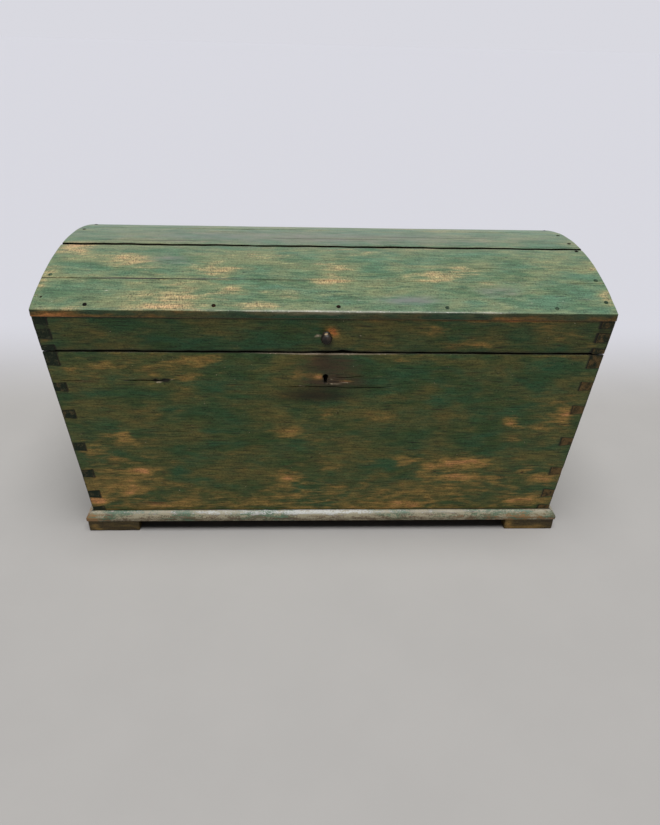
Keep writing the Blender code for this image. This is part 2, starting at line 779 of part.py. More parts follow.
def build_lock_case():
    """An iron box, open towards the plate, with the bolt's two guides inside."""
    left, right = lock_middle - lock_half, lock_middle + lock_half
    piece = block("lock_case", (left, at_depth(case_near), lock_low), (right, at_depth(case_far), lock_high))
    hollow = block("hollow", (left + lock_wall, at_depth(case_near - overrun), lock_low + lock_wall),
                   (right - lock_wall, at_depth(case_far - lock_wall), lock_high - lock_wall))
    cut(piece, hollow)
    for x in guide_places():
        join(piece, guide_block(x))
    near, far = eye_depths()
    cut(piece, block("eye_slot", (eye_left - eye_slot_clearance, at_depth(near - eye_slot_clearance),
                                  lock_high - lock_wall - overrun),
                     (eye_left + eye_thickness + eye_slot_clearance, at_depth(far + eye_slot_clearance),
                      lock_high + overrun)))
    turn = Matrix.Rotation(math.pi / 2, 3, "X")
    profile = [(0.0, -overrun), (key_tip_radius, -overrun),
               (key_tip_radius, lock_wall + overrun), (0.0, lock_wall + overrun)]
    cut(piece, turned("key_tip_hole", profile, hinge_sides, turn,
                      (lock_middle, at_depth(case_far), keyhole_height)))
    finish_piece(piece, "lock_case", "old_iron", (lock_middle, at_depth(case_near), lock_low))


def guide_places():
    """Both guides stay on the bolt over its whole throw."""
    return bolt_left + bolt_throw + guide_width, bolt_right - guide_tip_gap - guide_width / 2


def build_bolt():
    """A flat bar with a notch for the key's bit."""
    near, far = (bolt_middle_depth + side * bolt_thickness / 2 for side in (-1, 1))
    notch = bolt_talon_width / 2
    outline = [(bolt_left, bolt_low), (lock_middle - notch, bolt_low),
               (lock_middle - notch, bolt_low + bolt_talon_depth),
               (lock_middle + notch, bolt_low + bolt_talon_depth), (lock_middle + notch, bolt_low),
               (bolt_right, bolt_low), (bolt_right, bolt_high), (bolt_left, bolt_high)]
    ends = [[(x, at_depth(depth), z) for x, z in outline] for depth in (near, far)]
    piece = between_outlines("lock_bolt", *ends)
    slide = bpy.data.objects.new("bolt_slide", None)
    slide.location = (bolt_left, at_depth(bolt_middle_depth), (bolt_low + bolt_high) / 2)
    bpy.context.scene.collection.objects.link(slide)
    finish_piece(piece, "lock_bolt", "old_iron", slide.location, slide)


def build_spring():
    """A bowed leaf between the two guides, its ends on the bolt and its back under the case's top."""
    first, second = guide_places()
    left = first + guide_width / 2 + seat_gap
    right = second - guide_width / 2 - seat_gap
    foot = bolt_high + seat_gap
    rise = lock_high - lock_wall - seat_gap - spring_thickness - foot
    upper, lower = [], []
    for step in range(spring_facets + 1):
        share = step / spring_facets
        x = left + share * (right - left)
        height = foot + rise * math.sin(math.pi * share)
        lower.append((x, height))
        upper.append((x, height + spring_thickness))
    outline = lower + upper[::-1]
    half = spring_width / 2
    ends = [[(x, at_depth(bolt_middle_depth + side * half), z) for x, z in outline] for side in (-1, 1)]
    piece = between_outlines("bolt_spring", *ends)
    finish_piece(piece, "bolt_spring", "old_iron", (left, at_depth(bolt_middle_depth), foot))


def eye_depths():
    """Near and far depth of the catch's eye, about the bolt."""
    reach = bolt_thickness / 2 + eye_clearance + eye_wall
    return bolt_middle_depth - reach, bolt_middle_depth + reach


def build_catch(hinge):
    """A plate inside the lid's front rail with an eye that hangs into the lock."""
    near, far = eye_depths()
    middle = eye_left + eye_thickness / 2
    plate_low = rail_bottom + catch_plate_rise
    back = plate_near + catch_plate_thickness
    piece = block("lid_catch", (middle - catch_plate_width / 2, at_depth(plate_near), plate_low),
                  (middle + catch_plate_width / 2, at_depth(back), plate_low + catch_plate_height))
    ear = block("eye", (eye_left, at_depth(plate_near + catch_plate_thickness / 2),
                        lock_high + eye_slot_clearance),
                (eye_left + eye_thickness, at_depth(far), plate_low + catch_plate_height * eye_root_share))
    hanging = block("hanging_eye", (eye_left, at_depth(near), bolt_low - eye_clearance - eye_wall),
                    (eye_left + eye_thickness, at_depth(far), plate_low + catch_plate_height * eye_lap_share))
    window = block("bolt_window", (eye_left - overrun, at_depth(near + eye_wall), bolt_low - eye_clearance),
                   (eye_left + eye_thickness + overrun, at_depth(far - eye_wall), bolt_high + eye_clearance))
    cut(hanging, window)
    join(piece, ear)
    join(piece, hanging)
    finish_piece(piece, "lid_catch", "old_iron", (middle, at_depth(plate_near), plate_low), hinge)


def build_trunk():
    for old in list(bpy.data.objects):
        bpy.data.objects.remove(old)
    depth, height = hinge_axis()
    hinge = bpy.data.objects.new("lid_hinge", None)
    hinge.location = (0, at_depth(depth), height)
    bpy.context.scene.collection.objects.link(hinge)
    build_walls()
    build_floor()
    build_moulding()
    build_feet()
    build_lid_frame(hinge)
    build_staves(hinge)
    build_lid_nails(hinge)
    build_knob(hinge)
    build_hinges(hinge)
    build_lock_plate()
    build_lock_case()
    build_bolt()
    build_spring()
    build_catch(hinge)


build_trunk()
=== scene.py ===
import math

import bmesh
import bpy
import numpy as np
from mathutils import Matrix, Vector


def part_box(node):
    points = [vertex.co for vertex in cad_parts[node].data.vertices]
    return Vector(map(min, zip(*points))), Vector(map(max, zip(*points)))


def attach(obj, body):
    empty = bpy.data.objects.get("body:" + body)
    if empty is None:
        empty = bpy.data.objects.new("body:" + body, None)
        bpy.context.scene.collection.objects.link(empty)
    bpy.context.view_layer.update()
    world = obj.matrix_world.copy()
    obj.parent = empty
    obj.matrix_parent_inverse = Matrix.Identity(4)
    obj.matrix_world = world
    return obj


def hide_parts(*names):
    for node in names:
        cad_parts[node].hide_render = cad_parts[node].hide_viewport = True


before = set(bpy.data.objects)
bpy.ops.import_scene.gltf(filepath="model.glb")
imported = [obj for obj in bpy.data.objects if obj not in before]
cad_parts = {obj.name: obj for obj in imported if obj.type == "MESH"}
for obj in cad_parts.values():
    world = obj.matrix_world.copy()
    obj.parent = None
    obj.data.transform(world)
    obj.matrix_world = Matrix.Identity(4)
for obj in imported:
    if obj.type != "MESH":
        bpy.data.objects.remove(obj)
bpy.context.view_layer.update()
print("frame loaded:", len(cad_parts), "nodes")


# Places read from the frame

hair = 1e-5         # points closer than this are one point
touch = 0.001       # a point this close to a face belongs to it
tiny = 1e-9         # keeps a division from failing


def nodePoints(node):
    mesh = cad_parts[node].data
    flat = np.empty(len(mesh.vertices) * 3)
    mesh.vertices.foreach_get("co", flat)
    return flat.reshape(-1, 3)


def reach(node, axis):
    # lowest and highest coordinate of a node along one axis
    low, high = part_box(node)
    return low[axis], high[axis]


def middleOf(node, axis):
    return sum(reach(node, axis)) / 2


frontY, frontInY = reach("front_board", 1)
backY = reach("back_board", 1)[1]
boardDeep = frontInY - frontY
chestDeep = backY - frontY
middleY = (frontY + backY) / 2
wallLow, wallHigh = reach("front_board", 2)
railLow = reach("lid_front_rail", 2)[0]


def leaningEnd():
    # half the length at height zero and its growth per metre, over the leaning ends
    points = nodePoints("right_end_board")
    low = points[points[:, 2] < wallLow + touch, 0].max()
    high = points[points[:, 2] > wallHigh - touch, 0].max()
    growth = (high - low) / (wallHigh - wallLow)
    return low - growth * wallLow, growth


endStart, endGrowth = leaningEnd()


def halfLength(z):
    return endStart + endGrowth * z


def domeCircle():
    # centre height and radii of the staves' two arcs, from the front edge and the highest point
    edge = nodePoints("front_stave")
    edge = edge[edge[:, 1] < edge[:, 1].min() + hair]
    top = max(nodePoints("crest_stave"), key=lambda point: point[2])
    chord, high, low = middleY - edge[0, 1], edge[:, 2].max(), edge[:, 2].min()
    centre = (chord ** 2 + high ** 2 - (top[1] - middleY) ** 2 - top[2] ** 2) / (2 * (high - top[2]))
    return centre, math.hypot(chord, high - centre), math.hypot(chord, low - centre)


domeZ, domeRadius, underRadius = domeCircle()


def domeLevel(y, radius):
    # height of an arc about the dome's centre
    return domeZ + np.sqrt(radius ** 2 - (y - middleY) ** 2)


# Smooth random fields and grids

def ripple(points, sizes, seed, waves=9):
    # a sum of sine waves with random directions and phases; sizes are their lengths along x, y, z
    random = np.random.default_rng(seed)
    heading = random.normal(size=(waves, 3))
    heading /= np.linalg.norm(heading, axis=1)[:, None]
    heading *= random.uniform(0.6, 1.8, (waves, 1))
    phase = random.uniform(0, 2 * np.pi, waves)
    turns = (points / np.array(sizes)) @ heading.T
    return np.sin(2 * np.pi * turns + phase).sum(-1) / math.sqrt(waves)


def bell(away, width):
    # a smooth bump: 1 at its middle, a third of that a width away
    return np.exp(-(away / width) ** 2)


def gridLines(breaks, eases, step, extra=()):
    # sorted values from the first break to the last: the breaks, values eased in beside each
    # break, the extra ones, and regular steps between, where none crowds another
    breaks = np.unique(np.round(breaks, 6))
    low, high = breaks[0], breaks[-1]
    kept = list(breaks) + [value for value in extra if low < value < high]
    wanted = [(edge + way * ease, 0.4 * ease) for edge in breaks for ease in eases for way in (-1, 1)]
    wanted += [(value, 0.45 * step) for value in np.arange(low, high, step)]
    for value, room in wanted:
        if low < value < high and np.abs(np.array(kept) - value).min() > room:
            kept.append(value)
    return np.unique(kept)


def rimNodes(keep):
    # grid nodes with a missing cell beside them
    around = np.pad(keep, 1)
    corners = np.stack([around[:-1, :-1], around[:-1, 1:], around[1:, :-1], around[1:, 1:]])
    return corners.any(0) & ~corners.all(0)


def rimDistance(across, up, rim):
    # shortest way along a row or a column from each node to a rim node
    best = np.full(across.shape, 1.0)
    for place, axis in ((across, 1), (up, 0)):
        before = np.maximum.accumulate(np.where(rim, place, -9.0), axis=axis)
        after = np.flip(np.where(rim, place, 9.0), axis)
        after = np.flip(np.minimum.accumulate(after, axis=axis), axis)
        best = np.minimum(best, np.minimum(place - before, after - place))
    return best


def roundOver(distance, radius):
    # how far a quarter-round edge falls at this distance from the rim
    inside = np.clip(radius - distance, 0, radius)
    return radius - np.sqrt(radius ** 2 - inside ** 2)


def runLength(points, axis):
    # distance travelled along the rows or the columns of a grid of points
    steps = np.linalg.norm(np.diff(points, axis=axis), axis=2)
    return np.insert(np.cumsum(steps, axis=axis), 0, 0, axis=axis)


def placed(name, data):
    # an object at the origin that shows this mesh, lamp or camera
    thing = bpy.data.objects.new(name, data)
    bpy.context.scene.collection.objects.link(thing)
    return thing


def addPiece(name, points, faces, finishes, marks=None, faceFinish=None, sharp=38):
    # a mesh object at the origin, its faces turned outwards
    mesh = bpy.data.meshes.new(name)
    mesh.from_pydata(points.tolist(), [], faces)
    for finish in finishes:
        mesh.materials.append(finish)
    if faceFinish is not None:
        mesh.polygons.foreach_set("material_index", np.asarray(faceFinish, np.int32))
    for key, values in (marks or {}).items():
        field = mesh.attributes.new(key, "FLOAT", "POINT")
        field.data.foreach_set("value", np.asarray(values, np.float32).ravel())
    shape = bmesh.new()
    shape.from_mesh(mesh)
    bmesh.ops.recalc_face_normals(shape, faces=shape.faces)
    shape.to_mesh(mesh)
    shape.free()
    mesh.shade_smooth()
    mesh.set_sharp_from_angle(angle=math.radians(sharp))
    return placed(name, mesh)


def settle(piece, body, slot, *nodes):
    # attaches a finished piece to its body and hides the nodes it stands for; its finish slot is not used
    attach(piece, body)
    if nodes:
        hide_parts(*nodes)
    return piece


# Wear, cracks and pits: what a board has on its outer face

patchUnits = (1000, 1000, 1000, 1000, 1)    # four lengths in millimetres, and a strength

wander = {
    "swings": ((0.0011, 31, 90), (0.0006, 97, 50)),     # how far, its pace along x, its shift by level
    "reach": 0.010,         # how far beside a crack the grain still bends
}


def wearFrom(patches, along, across):
    # a sum of soft oval patches: (along, across, half length, half width, strength)
    total = np.zeros(along.shape)
    for centre, level, long, wide, strength in patches:
        total += strength * bell(along - centre, long) * bell(across - level, wide)
    return total


def crackRows(cracks):
    # rows that a crack needs: its bottom, its two lips and one beyond each
    sides = (-2.5, -1, 0, 1, 2.5)
    return [level + side * wide for start, end, level, deep, wide in cracks for side in sides]


def crackShare(crack, along, across):
    # 1 at the crack's bottom, falling to 0 at its lips, and fading out at its two ends
    start, end, level, deep, wide = crack
    middle, half = (start + end) / 2, (end - start) / 2
    fade = np.clip(1.3 * (1 - np.abs((along - middle) / half) ** 2), 0, 1)
    return fade * np.clip(1 - np.abs(across - level) / wide, 0, 1)


def crackWander(cracks, along, across):
    # how far the rows near a crack drift with the grain: two waves that fade out beside it
    drift = np.zeros(along.shape)
    for start, end, level, deep, wide in cracks:
        swing = sum(far * np.sin(along * pace + level * shift) for far, pace, shift in wander["swings"])
        drift += swing * bell(across - level, wander["reach"])
    return drift


surface = {
    "unevenSize": (0.07, 0.07, 0.07),   # lengths over which the eased edges change
    "unevenness": 0.45,
    "unevenLimits": (0.35, 1.9),
    "waveSize": (0.55, 0.09, 0.09),     # lengths of the board's own waves
    "jointReach": 0.0016,       # how far dirt creeps in from a joint
    "crackDirt": 1.2,
    "edgeRub": 0.45,            # wear along the long edges, where they are more uneven than this
    "rubFrom": 0.6,
    "rubReach": 0.003,          # and how far it goes in
    "edgeShare": 0.3,           # how much of a face's wear reaches its edges
}


def slab(node, columns, rows, place, finishes, body, slot, keep=None, ease=(0.0012, 0.0004), wear=(),
         edgeWear=(), stains=(), pales=(), soot=(), cracks=(), pits=(), relief=0.00025,
         axes=(0, 2, 0.0), jointDirt=0.8, blackened=None):
    # A board: place(a, b, side) gives the points of its outer (0) and inner (1) face on one grid.
    # The outer face falls away in a quarter round at its rims, waves a little, and has its cracks
    # and pits pressed in. Kept cells make both faces, and walls close every rim between them. The
    # finishes go to the outer face, the inner one, the long edges and the ends. Patches are placed
    # along two axes, the second from a start.
    if keep is None:
        keep = np.ones((len(rows) - 1, len(columns) - 1), bool)
    a, b = np.meshgrid(columns, rows)
    outer, inner = place(a, b, 0), place(a, b, 1)
    outward = outer - inner
    outward /= np.linalg.norm(outward, axis=2)[..., None]
    rim = rimNodes(keep)
    alongRun, upRun = runLength(outer, 1), runLength(outer, 0)
    longWay = np.minimum(upRun, upRun[-1:] - upRun)
    endWay = rimDistance(alongRun, upRun, rim)
    seed = sum(ord(letter) for letter in node)
    uneven = 1 + surface["unevenness"] * ripple(outer, surface["unevenSize"], seed)
    uneven = np.clip(uneven, *surface["unevenLimits"])
    fall = np.maximum(roundOver(longWay, ease[0] * uneven), roundOver(endWay, ease[1] * uneven))
    fall += relief * np.clip(ripple(outer, surface["waveSize"], seed + 1) + 1, 0, None)
    along, level = outer[..., axes[0]], outer[..., axes[1]] - axes[2]
    grime = jointDirt * np.exp(-endWay / surface["jointReach"]) + wearFrom(soot, along, level)
    for crack in cracks:
        share = crackShare(crack, along, b)
        fall += crack[3] * share
        grime += surface["crackDirt"] * np.sqrt(share)
    for centre, height, radius, deep in pits:
        share = bell(np.hypot(along - centre, level - height), radius)
        fall += deep * share
        grime += share
    worn = surface["edgeRub"] * np.exp(-longWay / surface["rubReach"]) * (uneven - surface["rubFrom"])
    worn += wearFrom(wear, along, level)
    wornEdge = surface["edgeShare"] * worn + wearFrom(edgeWear, along, level)
    outer = outer - outward * fall[..., None]
    inner = inner + outward * roundOver(longWay, ease[1])[..., None]
    count = a.size
    index = np.arange(count).reshape(a.shape)
    corner = [index[:-1, :-1], index[:-1, 1:], index[1:, 1:], index[1:, :-1]]
    quads = np.stack(corner, -1)[keep]
    groups = [quads, quads[:, ::-1] + count]
    around = np.pad(keep, 1)
    beside = (around[:-2, 1:-1], around[1:-1, 2:], around[2:, 1:-1], around[1:-1, :-2])
    for k, other in enumerate(beside):
        bare = keep & ~other
        first, second = corner[k][bare], corner[(k + 1) % 4][bare]
        groups.append(np.stack([second, first, first + count, second + count], -1))
    kinds = np.repeat([0, 1, 2, 3, 2, 3], [len(group) for group in groups])
    if blackened:      # rows between these two values get the fifth finish
        middle = (b[:-1, :-1] + b[1:, :-1])[keep] / 2
        kinds[:len(quads)][(middle > blackened[0]) & (middle < blackened[1])] = 4
    used, faces = np.unique(np.concatenate(groups), return_inverse=True)
    points = np.concatenate([outer.reshape(-1, 3), inner.reshape(-1, 3)])[used]
    stain, pale = wearFrom(stains, along, level), wearFrom(pales, along, level)
    both = {"worn": (worn, wornEdge), "grime": (grime, grime), "stain": (stain, stain),
            "pale": (pale, 0 * pale)}
    marks = {key: np.concatenate([pair[0].ravel(), pair[1].ravel()])[used] for key, pair in both.items()}
    piece = addPiece(node + "_wood", points, faces.reshape(-1, 4).tolist(), finishes, marks, kinds)
    return settle(piece, body, slot, node)


def tube(name, rings, finishes, marks=None, sharp=38):
    # closed loops of points, one after the other, joined by quads and capped at both ends
    count, around = rings.shape[:2]
    index = np.arange(count * around).reshape(count, around)
    ahead = np.roll(index, -1, axis=1)
    quads = np.stack([index[:-1], ahead[:-1], ahead[1:], index[1:]], -1).reshape(-1, 4)
    faces = quads.tolist() + [index[0, ::-1].tolist(), index[-1].tolist()]
    return addPiece(name, rings.reshape(-1, 3), faces, finishes, marks, sharp=sharp)


# Finishes

class Finish:
    # One material. Its noises read Object coordinates, drawn out along the grain.
    def __init__(self, name, along=0):
        self.material = bpy.data.materials.new(name)
        self.material.use_nodes = True
        self.tree = self.material.node_tree
        self.shader = self.tree.nodes["Principled BSDF"]
        self.along = along
        self.spot = self.add("ShaderNodeTexCoord").outputs["Object"]
        self.relief = None
        self.colour = None

    def add(self, kind, settings=None, **sockets):
        node = self.tree.nodes.new(kind)
        for key, value in (settings or {}).items():
            setattr(node, key, value)
        for key, value in sockets.items():
            self.put(node.inputs[key], value)
        return node

    def put(self, socket, value):
        if isinstance(value, bpy.types.NodeSocket):
            self.tree.links.new(value, socket)
        else:
            socket.default_value = value

    def drawn(self, size, stretch):
        # coordinates in units of size across the grain and size times stretch along it
        scale = [1 / size] * 3
        scale[self.along] = 1 / (size * stretch)
        return self.add("ShaderNodeMapping", Vector=self.spot, Scale=scale).outputs[0]

    def noise(self, size, stretch=1.0, detail=2.0, rough=0.5, twist=0.0):
        sockets = {"Vector": self.drawn(size, stretch), "Scale": 1.0, "Detail": detail,
                   "Roughness": rough, "Distortion": twist}
        return self.add("ShaderNodeTexNoise", **sockets).outputs[0]

    def mark(self, name):
        return self.add("ShaderNodeAttribute", {"attribute_name": name}).outputs["Fac"]

    def sum(self, *values):
        total = values[0]
        for value in values[1:]:
            total = self.math("ADD", total, value)
        return total

    def math(self, operation, first, second=0.0):
        node = self.add("ShaderNodeMath", {"operation": operation})
        self.put(node.inputs[0], first)
        self.put(node.inputs[1], second)
        return node.outputs[0]

    def scaled(self, value, factor):
        return self.math("MULTIPLY", value, factor)

    def blend(self, *terms):
        # weighted sum of noises, each brought to a mean of 0 and a spread near 1
        weights = sum(weight for noise, weight in terms)
        return self.sum(*[self.scaled(noise, 10 * weight) for noise, weight in terms], -5 * weights)

    def ramp(self, value, low, high, start=0.0, end=1.0):
        sockets = {"Value": value, "From Min": low, "From Max": high, "To Min": start, "To Max": end}
        return self.add("ShaderNodeMapRange", {"interpolation_type": "SMOOTHSTEP"}, **sockets).outputs[0]

    def mix(self, share, first, second):
        node = self.add("ShaderNodeMix", {"data_type": "RGBA"})
        for socket, value in ((0, share), (6, first), (7, second)):
            self.put(node.inputs[socket], (*value, 1.0) if isinstance(value, tuple) else value)
        return node.outputs[2]

    def lay(self, value, low, high, colour, most=1.0):
        # lays a colour over the last one, the more the further value has gone from low to high
        self.colour = self.mix(self.ramp(value, low, high, 0.0, most), self.colour, colour)

    def dent(self, height, distance):
        # adds one more layer of small relief
        sockets = {"Height": height, "Distance": distance, "Strength": 1.0}
        if self.relief is not None:
            sockets["Normal"] = self.relief
        self.relief = self.add("ShaderNodeBump", **sockets).outputs[0]

    def done(self, rough, **fixed):
        # joins the layers to the shader and sets its fixed values
        self.put(self.shader.inputs["Base Color"], self.colour)
        self.put(self.shader.inputs["Roughness"], rough)
        if self.relief is not None:
            self.put(self.shader.inputs["Normal"], self.relief)
        for key, value in fixed.items():
            self.shader.inputs[key].default_value = value
        return self.material


frontTones = {
    "deep": (0.040, 0.082, 0.022),
    "teal": (0.032, 0.106, 0.044),
    "olive": (0.152, 0.130, 0.035),
    "ochre": (0.370, 0.230, 0.062),
    "orange": (0.640, 0.300, 0.115),
    "dirt": (0.010, 0.008, 0.005),
    "stain": (0.066, 0.041, 0.024),
    "chip": (0.620, 0.500, 0.350),
}

# the lid's tones: the front's paint made lighter and greyer, partly painted light from above and painted
# sheen
litLidTones = {
    "deep": (0.072, 0.148, 0.072),
    "teal": (0.100, 0.208, 0.122),
    "olive": (0.225, 0.250, 0.120),
    "ochre": (0.435, 0.335, 0.165),
    "orange": (0.570, 0.370, 0.190),
    "dirt": (0.010, 0.010, 0.007),
    "stain": (0.200, 0.210, 0.195),
    "chip": (0.680, 0.640, 0.580),
}


def shaded(tones, share):
    return {key: tuple(share * value for value in tone) for key, tone in tones.items()}


# noises in the paint: size across the grain, stretch along it, detail, roughness, twist
paintNoises = {
    "drift": (0.055, 2.6, 2.0, 0.5, 0.5),
    "pool": (0.030, 3.0, 2.0, 0.5, 0.8),
    "blotch": (0.012, 3.2, 2.0, 0.5),
    "streak": (0.0042, 9.0, 4.0, 0.65),
    "line": (0.0021, 26.0, 2.0, 0.6),
    "speck": (0.0026, 1.5, 2.0, 0.6),
}
crackleNoise = (0.0075, 0.30, 2.0, 0.6)
chipNoise = (0.0030, 1.8, 2.0, 0.5)


def paintFinish(name, tones, along=0, crackle=0.0, bare=0.0, coat=0.06, rubbed=2.1, lines=0.8):
    # A green glaze over an ochre ground. Broad soft fields choose the hue: pools of teal, an olive
    # veil in drifts, ochre and orange where the worn mark says it is rubbed through. Fine streaks
    # and specks only lighten and darken it. Then stains, dark lines, pale chips and pale edge lines,
    # some of them painted highlights, and dirt where the grime mark is, in places painted shade.
    finish = Finish(name, along)
    lay, ramp, scaled, blend, total = finish.lay, finish.ramp, finish.scaled, finish.blend, finish.sum
    worn, stain, pale, grime = (finish.mark(key) for key in ("worn", "stain", "pale", "grime"))
    drift, pool, blotch, streak, line, speck = (finish.noise(*noise) for noise in paintNoises.values())
    veil = total(blend((drift, 0.8), (blotch, 0.45), (streak, 0.25)), scaled(worn, 1.8), bare)
    rub = blend((blotch, 0.5), (drift, 0.3), (streak, 0.3), (line, 0.15))
    rub = total(rub, scaled(worn, rubbed), bare - 1.5)
    fine = blend((streak, 0.5), (line, 0.4), (speck, 0.6))
    if crackle > 0:
        cross = blend((finish.noise(*crackleNoise), crackle))
        fine = total(fine, scaled(cross, ramp(rub, -1.0, 1.5, 0.3, 1.6)))
    finish.colour = tones["deep"]
    lay(blend((pool, 0.9), (blotch, 0.3), (streak, 0.2)), -2.0, 2.0, tones["teal"])
    lay(veil, -1.8, 2.4, tones["olive"])
    lay(rub, -0.5, 1.8, tones["ochre"], 0.95)
    lay(rub, 1.1, 3.1, tones["orange"])
    bright = {"Vector": finish.colour, "Scale": total(scaled(fine, 0.32), 1.0)}
    finish.colour = finish.add("ShaderNodeVectorMath", {"operation": "SCALE"}, **bright).outputs[0]
    lay(total(stain, blend((streak, 0.08), (blotch, 0.06))), 0.10, 0.95, tones["stain"], 0.92)
    lay(blend((line, 1.0), (speck, 0.4)), 0.3, 2.0, tones["dirt"], lines)
    lay(total(pale, blend((streak, 0.12))), 0.3, 1.1, tones["chip"], 0.6)
    chips = total(blend((finish.noise(*chipNoise), 1.0)), scaled(pale, 2.0))
    lay(chips, 2.5, 3.1, tones["chip"], 0.75)
    lay(total(grime, blend((streak, 0.03))), 0.15, 0.85, tones["dirt"], 0.96)
    finish.dent(blend((streak, 0.07), (line, -0.06), (speck, 0.04)), 0.00040)
    rough = total(ramp(streak, 0.3, 0.7, 0.38, 0.52), ramp(rub, 0.0, 2.0, 0.0, 0.14))
    fixed = {"Coat Weight": coat, "Coat Roughness": 0.25, "Specular IOR Level": 0.22}
    return finish.done(rough, **fixed)


pineTones = {
    "pale": (0.420, 0.270, 0.130),
    "ring": (0.270, 0.150, 0.062),
    "dust": (0.150, 0.105, 0.068),
}


def pineFinish(name, along=0, age=0.0):
    # bare pine: wavering growth rings drawn out along the grain, pores, and a grey bloom of dust
    finish = Finish(name, along)
    ring = finish.noise(0.010, 22.0, 1.0, 0.4, 0.9)
    rings = finish.math("PINGPONG", finish.scaled(ring, 7.0), 0.5)
    hairs = finish.noise(0.0012, 60.0, 2.0, 0.6)
    bloom = finish.noise(0.080, 2.0, 4.0, 0.6)
    grime = finish.mark("grime")
    finish.colour = pineTones["pale"]
    finish.lay(rings, 0.10, 0.46, pineTones["ring"])
    finish.lay(hairs, 0.50, 0.76, pineTones["ring"], 0.35)
    finish.lay(finish.sum(bloom, finish.scaled(grime, 0.5), age), 0.40, 0.95, pineTones["dust"], 0.9)
    finish.lay(grime, 0.2, 0.7, frontTones["dirt"])
    finish.dent(finish.sum(rings, finish.scaled(hairs, -0.8)), 0.00025)
    return finish.done(finish.ramp(hairs, 0.3, 0.7, 0.62, 0.78))


# the darkest and palest tone of the joint's dirt and painted shade
filthAndShadeTones = ((0.004, 0.004, 0.003), (0.014, 0.012, 0.008))


def filthAndShadeFinish(name):
    # old dirt packed into an open joint, with the gap's shade painted in: nearly black, crumbly and without
    # any gloss
    finish = Finish(name)
    crumb = finish.noise(0.004, 3.0, 3.0, 0.6)
    finish.colour = filthAndShadeTones[0]
    finish.lay(crumb, 0.35, 0.65, filthAndShadeTones[1])
    finish.dent(crumb, 0.0003)
    return finish.done(finish.ramp(crumb, 0.3, 0.7, 0.85, 0.95), **{"Specular IOR Level": 0.0})


endGrainTones = {
    "dark": (0.013, 0.021, 0.012),
    "ring": (0.055, 0.062, 0.034),
    "brown": (0.185, 0.110, 0.042),
}


def endGrainFinish(name):
    # end grain at the dovetails: small pores and close rings, dark with paint and dirt, and browner
    # towards the right end and low down, where it is handled more
    finish = Finish(name)
    axes = finish.add("ShaderNodeSeparateXYZ", Vector=finish.spot).outputs
    ring = finish.noise(0.0024, 1.0, 3.0, 0.7, 0.4)
    blotch = finish.noise(0.014, 1.0, 3.0, 0.6)
    brown = finish.sum(finish.blend((blotch, 0.9), (ring, 0.4)), finish.ramp(axes[0], -0.3, 0.3, -2.2, 0.3),
                       finish.ramp(axes[2], 0.40, 0.46, 0.0, -1.1))
    finish.colour = endGrainTones["dark"]
    finish.lay(finish.blend((ring, 0.8), (blotch, 0.6)), -0.2, 1.6, endGrainTones["ring"])
    finish.lay(brown, -2.4, 2.2, endGrainTones["brown"], 0.9)
    finish.dent(ring, 0.0005)
    return finish.done(finish.ramp(ring, 0.3, 0.7, 0.55, 0.75), **{"Specular IOR Level": 0.15})


ironTones = {
    "black": (0.030, 0.027, 0.025),
    "brown": (0.085, 0.048, 0.028),
    "rust": (0.190, 0.078, 0.030),
}

paintedNailTones = {
    "black": (0.028, 0.050, 0.032),
    "brown": (0.085, 0.135, 0.080),
    "rust": (0.150, 0.120, 0.060),
}


def ironFinish(name, tones, metal=0.0, shine=0.03):
    # hand-worked iron: nearly black scale, brown where it is handled, rust in spots
    finish = Finish(name)
    cloud = finish.noise(0.012, 1.0, 4.0, 0.6, 0.4)
    spot = finish.noise(0.0028, 1.0, 3.0, 0.65)
    finish.colour = tones["black"]
    finish.lay(cloud, 0.42, 0.62, tones["brown"])
    finish.lay(finish.sum(cloud, spot), 1.08, 1.26, tones["rust"], 0.9)
    finish.dent(finish.sum(cloud, finish.scaled(spot, 0.5)), 0.0006)
    rough = finish.ramp(finish.sum(cloud, spot), 0.8, 1.2, 0.42, 0.78)
    return finish.done(rough, **{"Metallic": metal, "Specular IOR Level": shine})


knobTones = {
    "dark": (0.014, 0.012, 0.009),
    "warm": (0.040, 0.028, 0.018),
    # worn: the pale spot on top, rubbed wood and a painted highlight
    "worn": (0.480, 0.360, 0.220),
}


def knobFinish(name):
    # a turned hardwood knob, nearly black, with a pale spot on top: wood rubbed through, and a painted
    # highlight
    finish = Finish(name, 1)
    grain = finish.noise(0.0016, 9.0, 3.0, 0.6)
    cloud = finish.noise(0.009, 1.0, 2.0, 0.5)
    finish.colour = knobTones["dark"]
    finish.lay(finish.blend((grain, 0.8), (cloud, 0.7)), -0.5, 1.5, knobTones["warm"])
    worn = finish.sum(finish.mark("worn"), finish.blend((grain, 0.10), (cloud, 0.06)))
    finish.lay(worn, 0.35, 0.85, knobTones["worn"], 0.9)
    finish.dent(grain, 0.0002)
    return finish.done(finish.ramp(cloud, 0.35, 0.65, 0.28, 0.40), **{"Specular IOR Level": 0.25})


mouldingTones = {
    "cream": (0.360, 0.320, 0.215),
    "green": (0.085, 0.155, 0.090),
    "brown": (0.130, 0.088, 0.046),
    "ochre": (0.300, 0.165, 0.062),
    "dirt": (0.020, 0.015, 0.009),
    # pale: a painted highlight, laid along the top of the round
    "pale": (0.640, 0.650, 0.620),
}


mouldingNoises = {
    "band": (0.0042, 8.0, 4.0, 0.65, 0.2),
    "drift": (0.034, 2.4, 4.0, 0.6, 0.4),
    "blotch": (0.008, 2.0, 4.0, 0.65),
    "speck": (0.0026, 1.5, 2.0, 0.6),
}


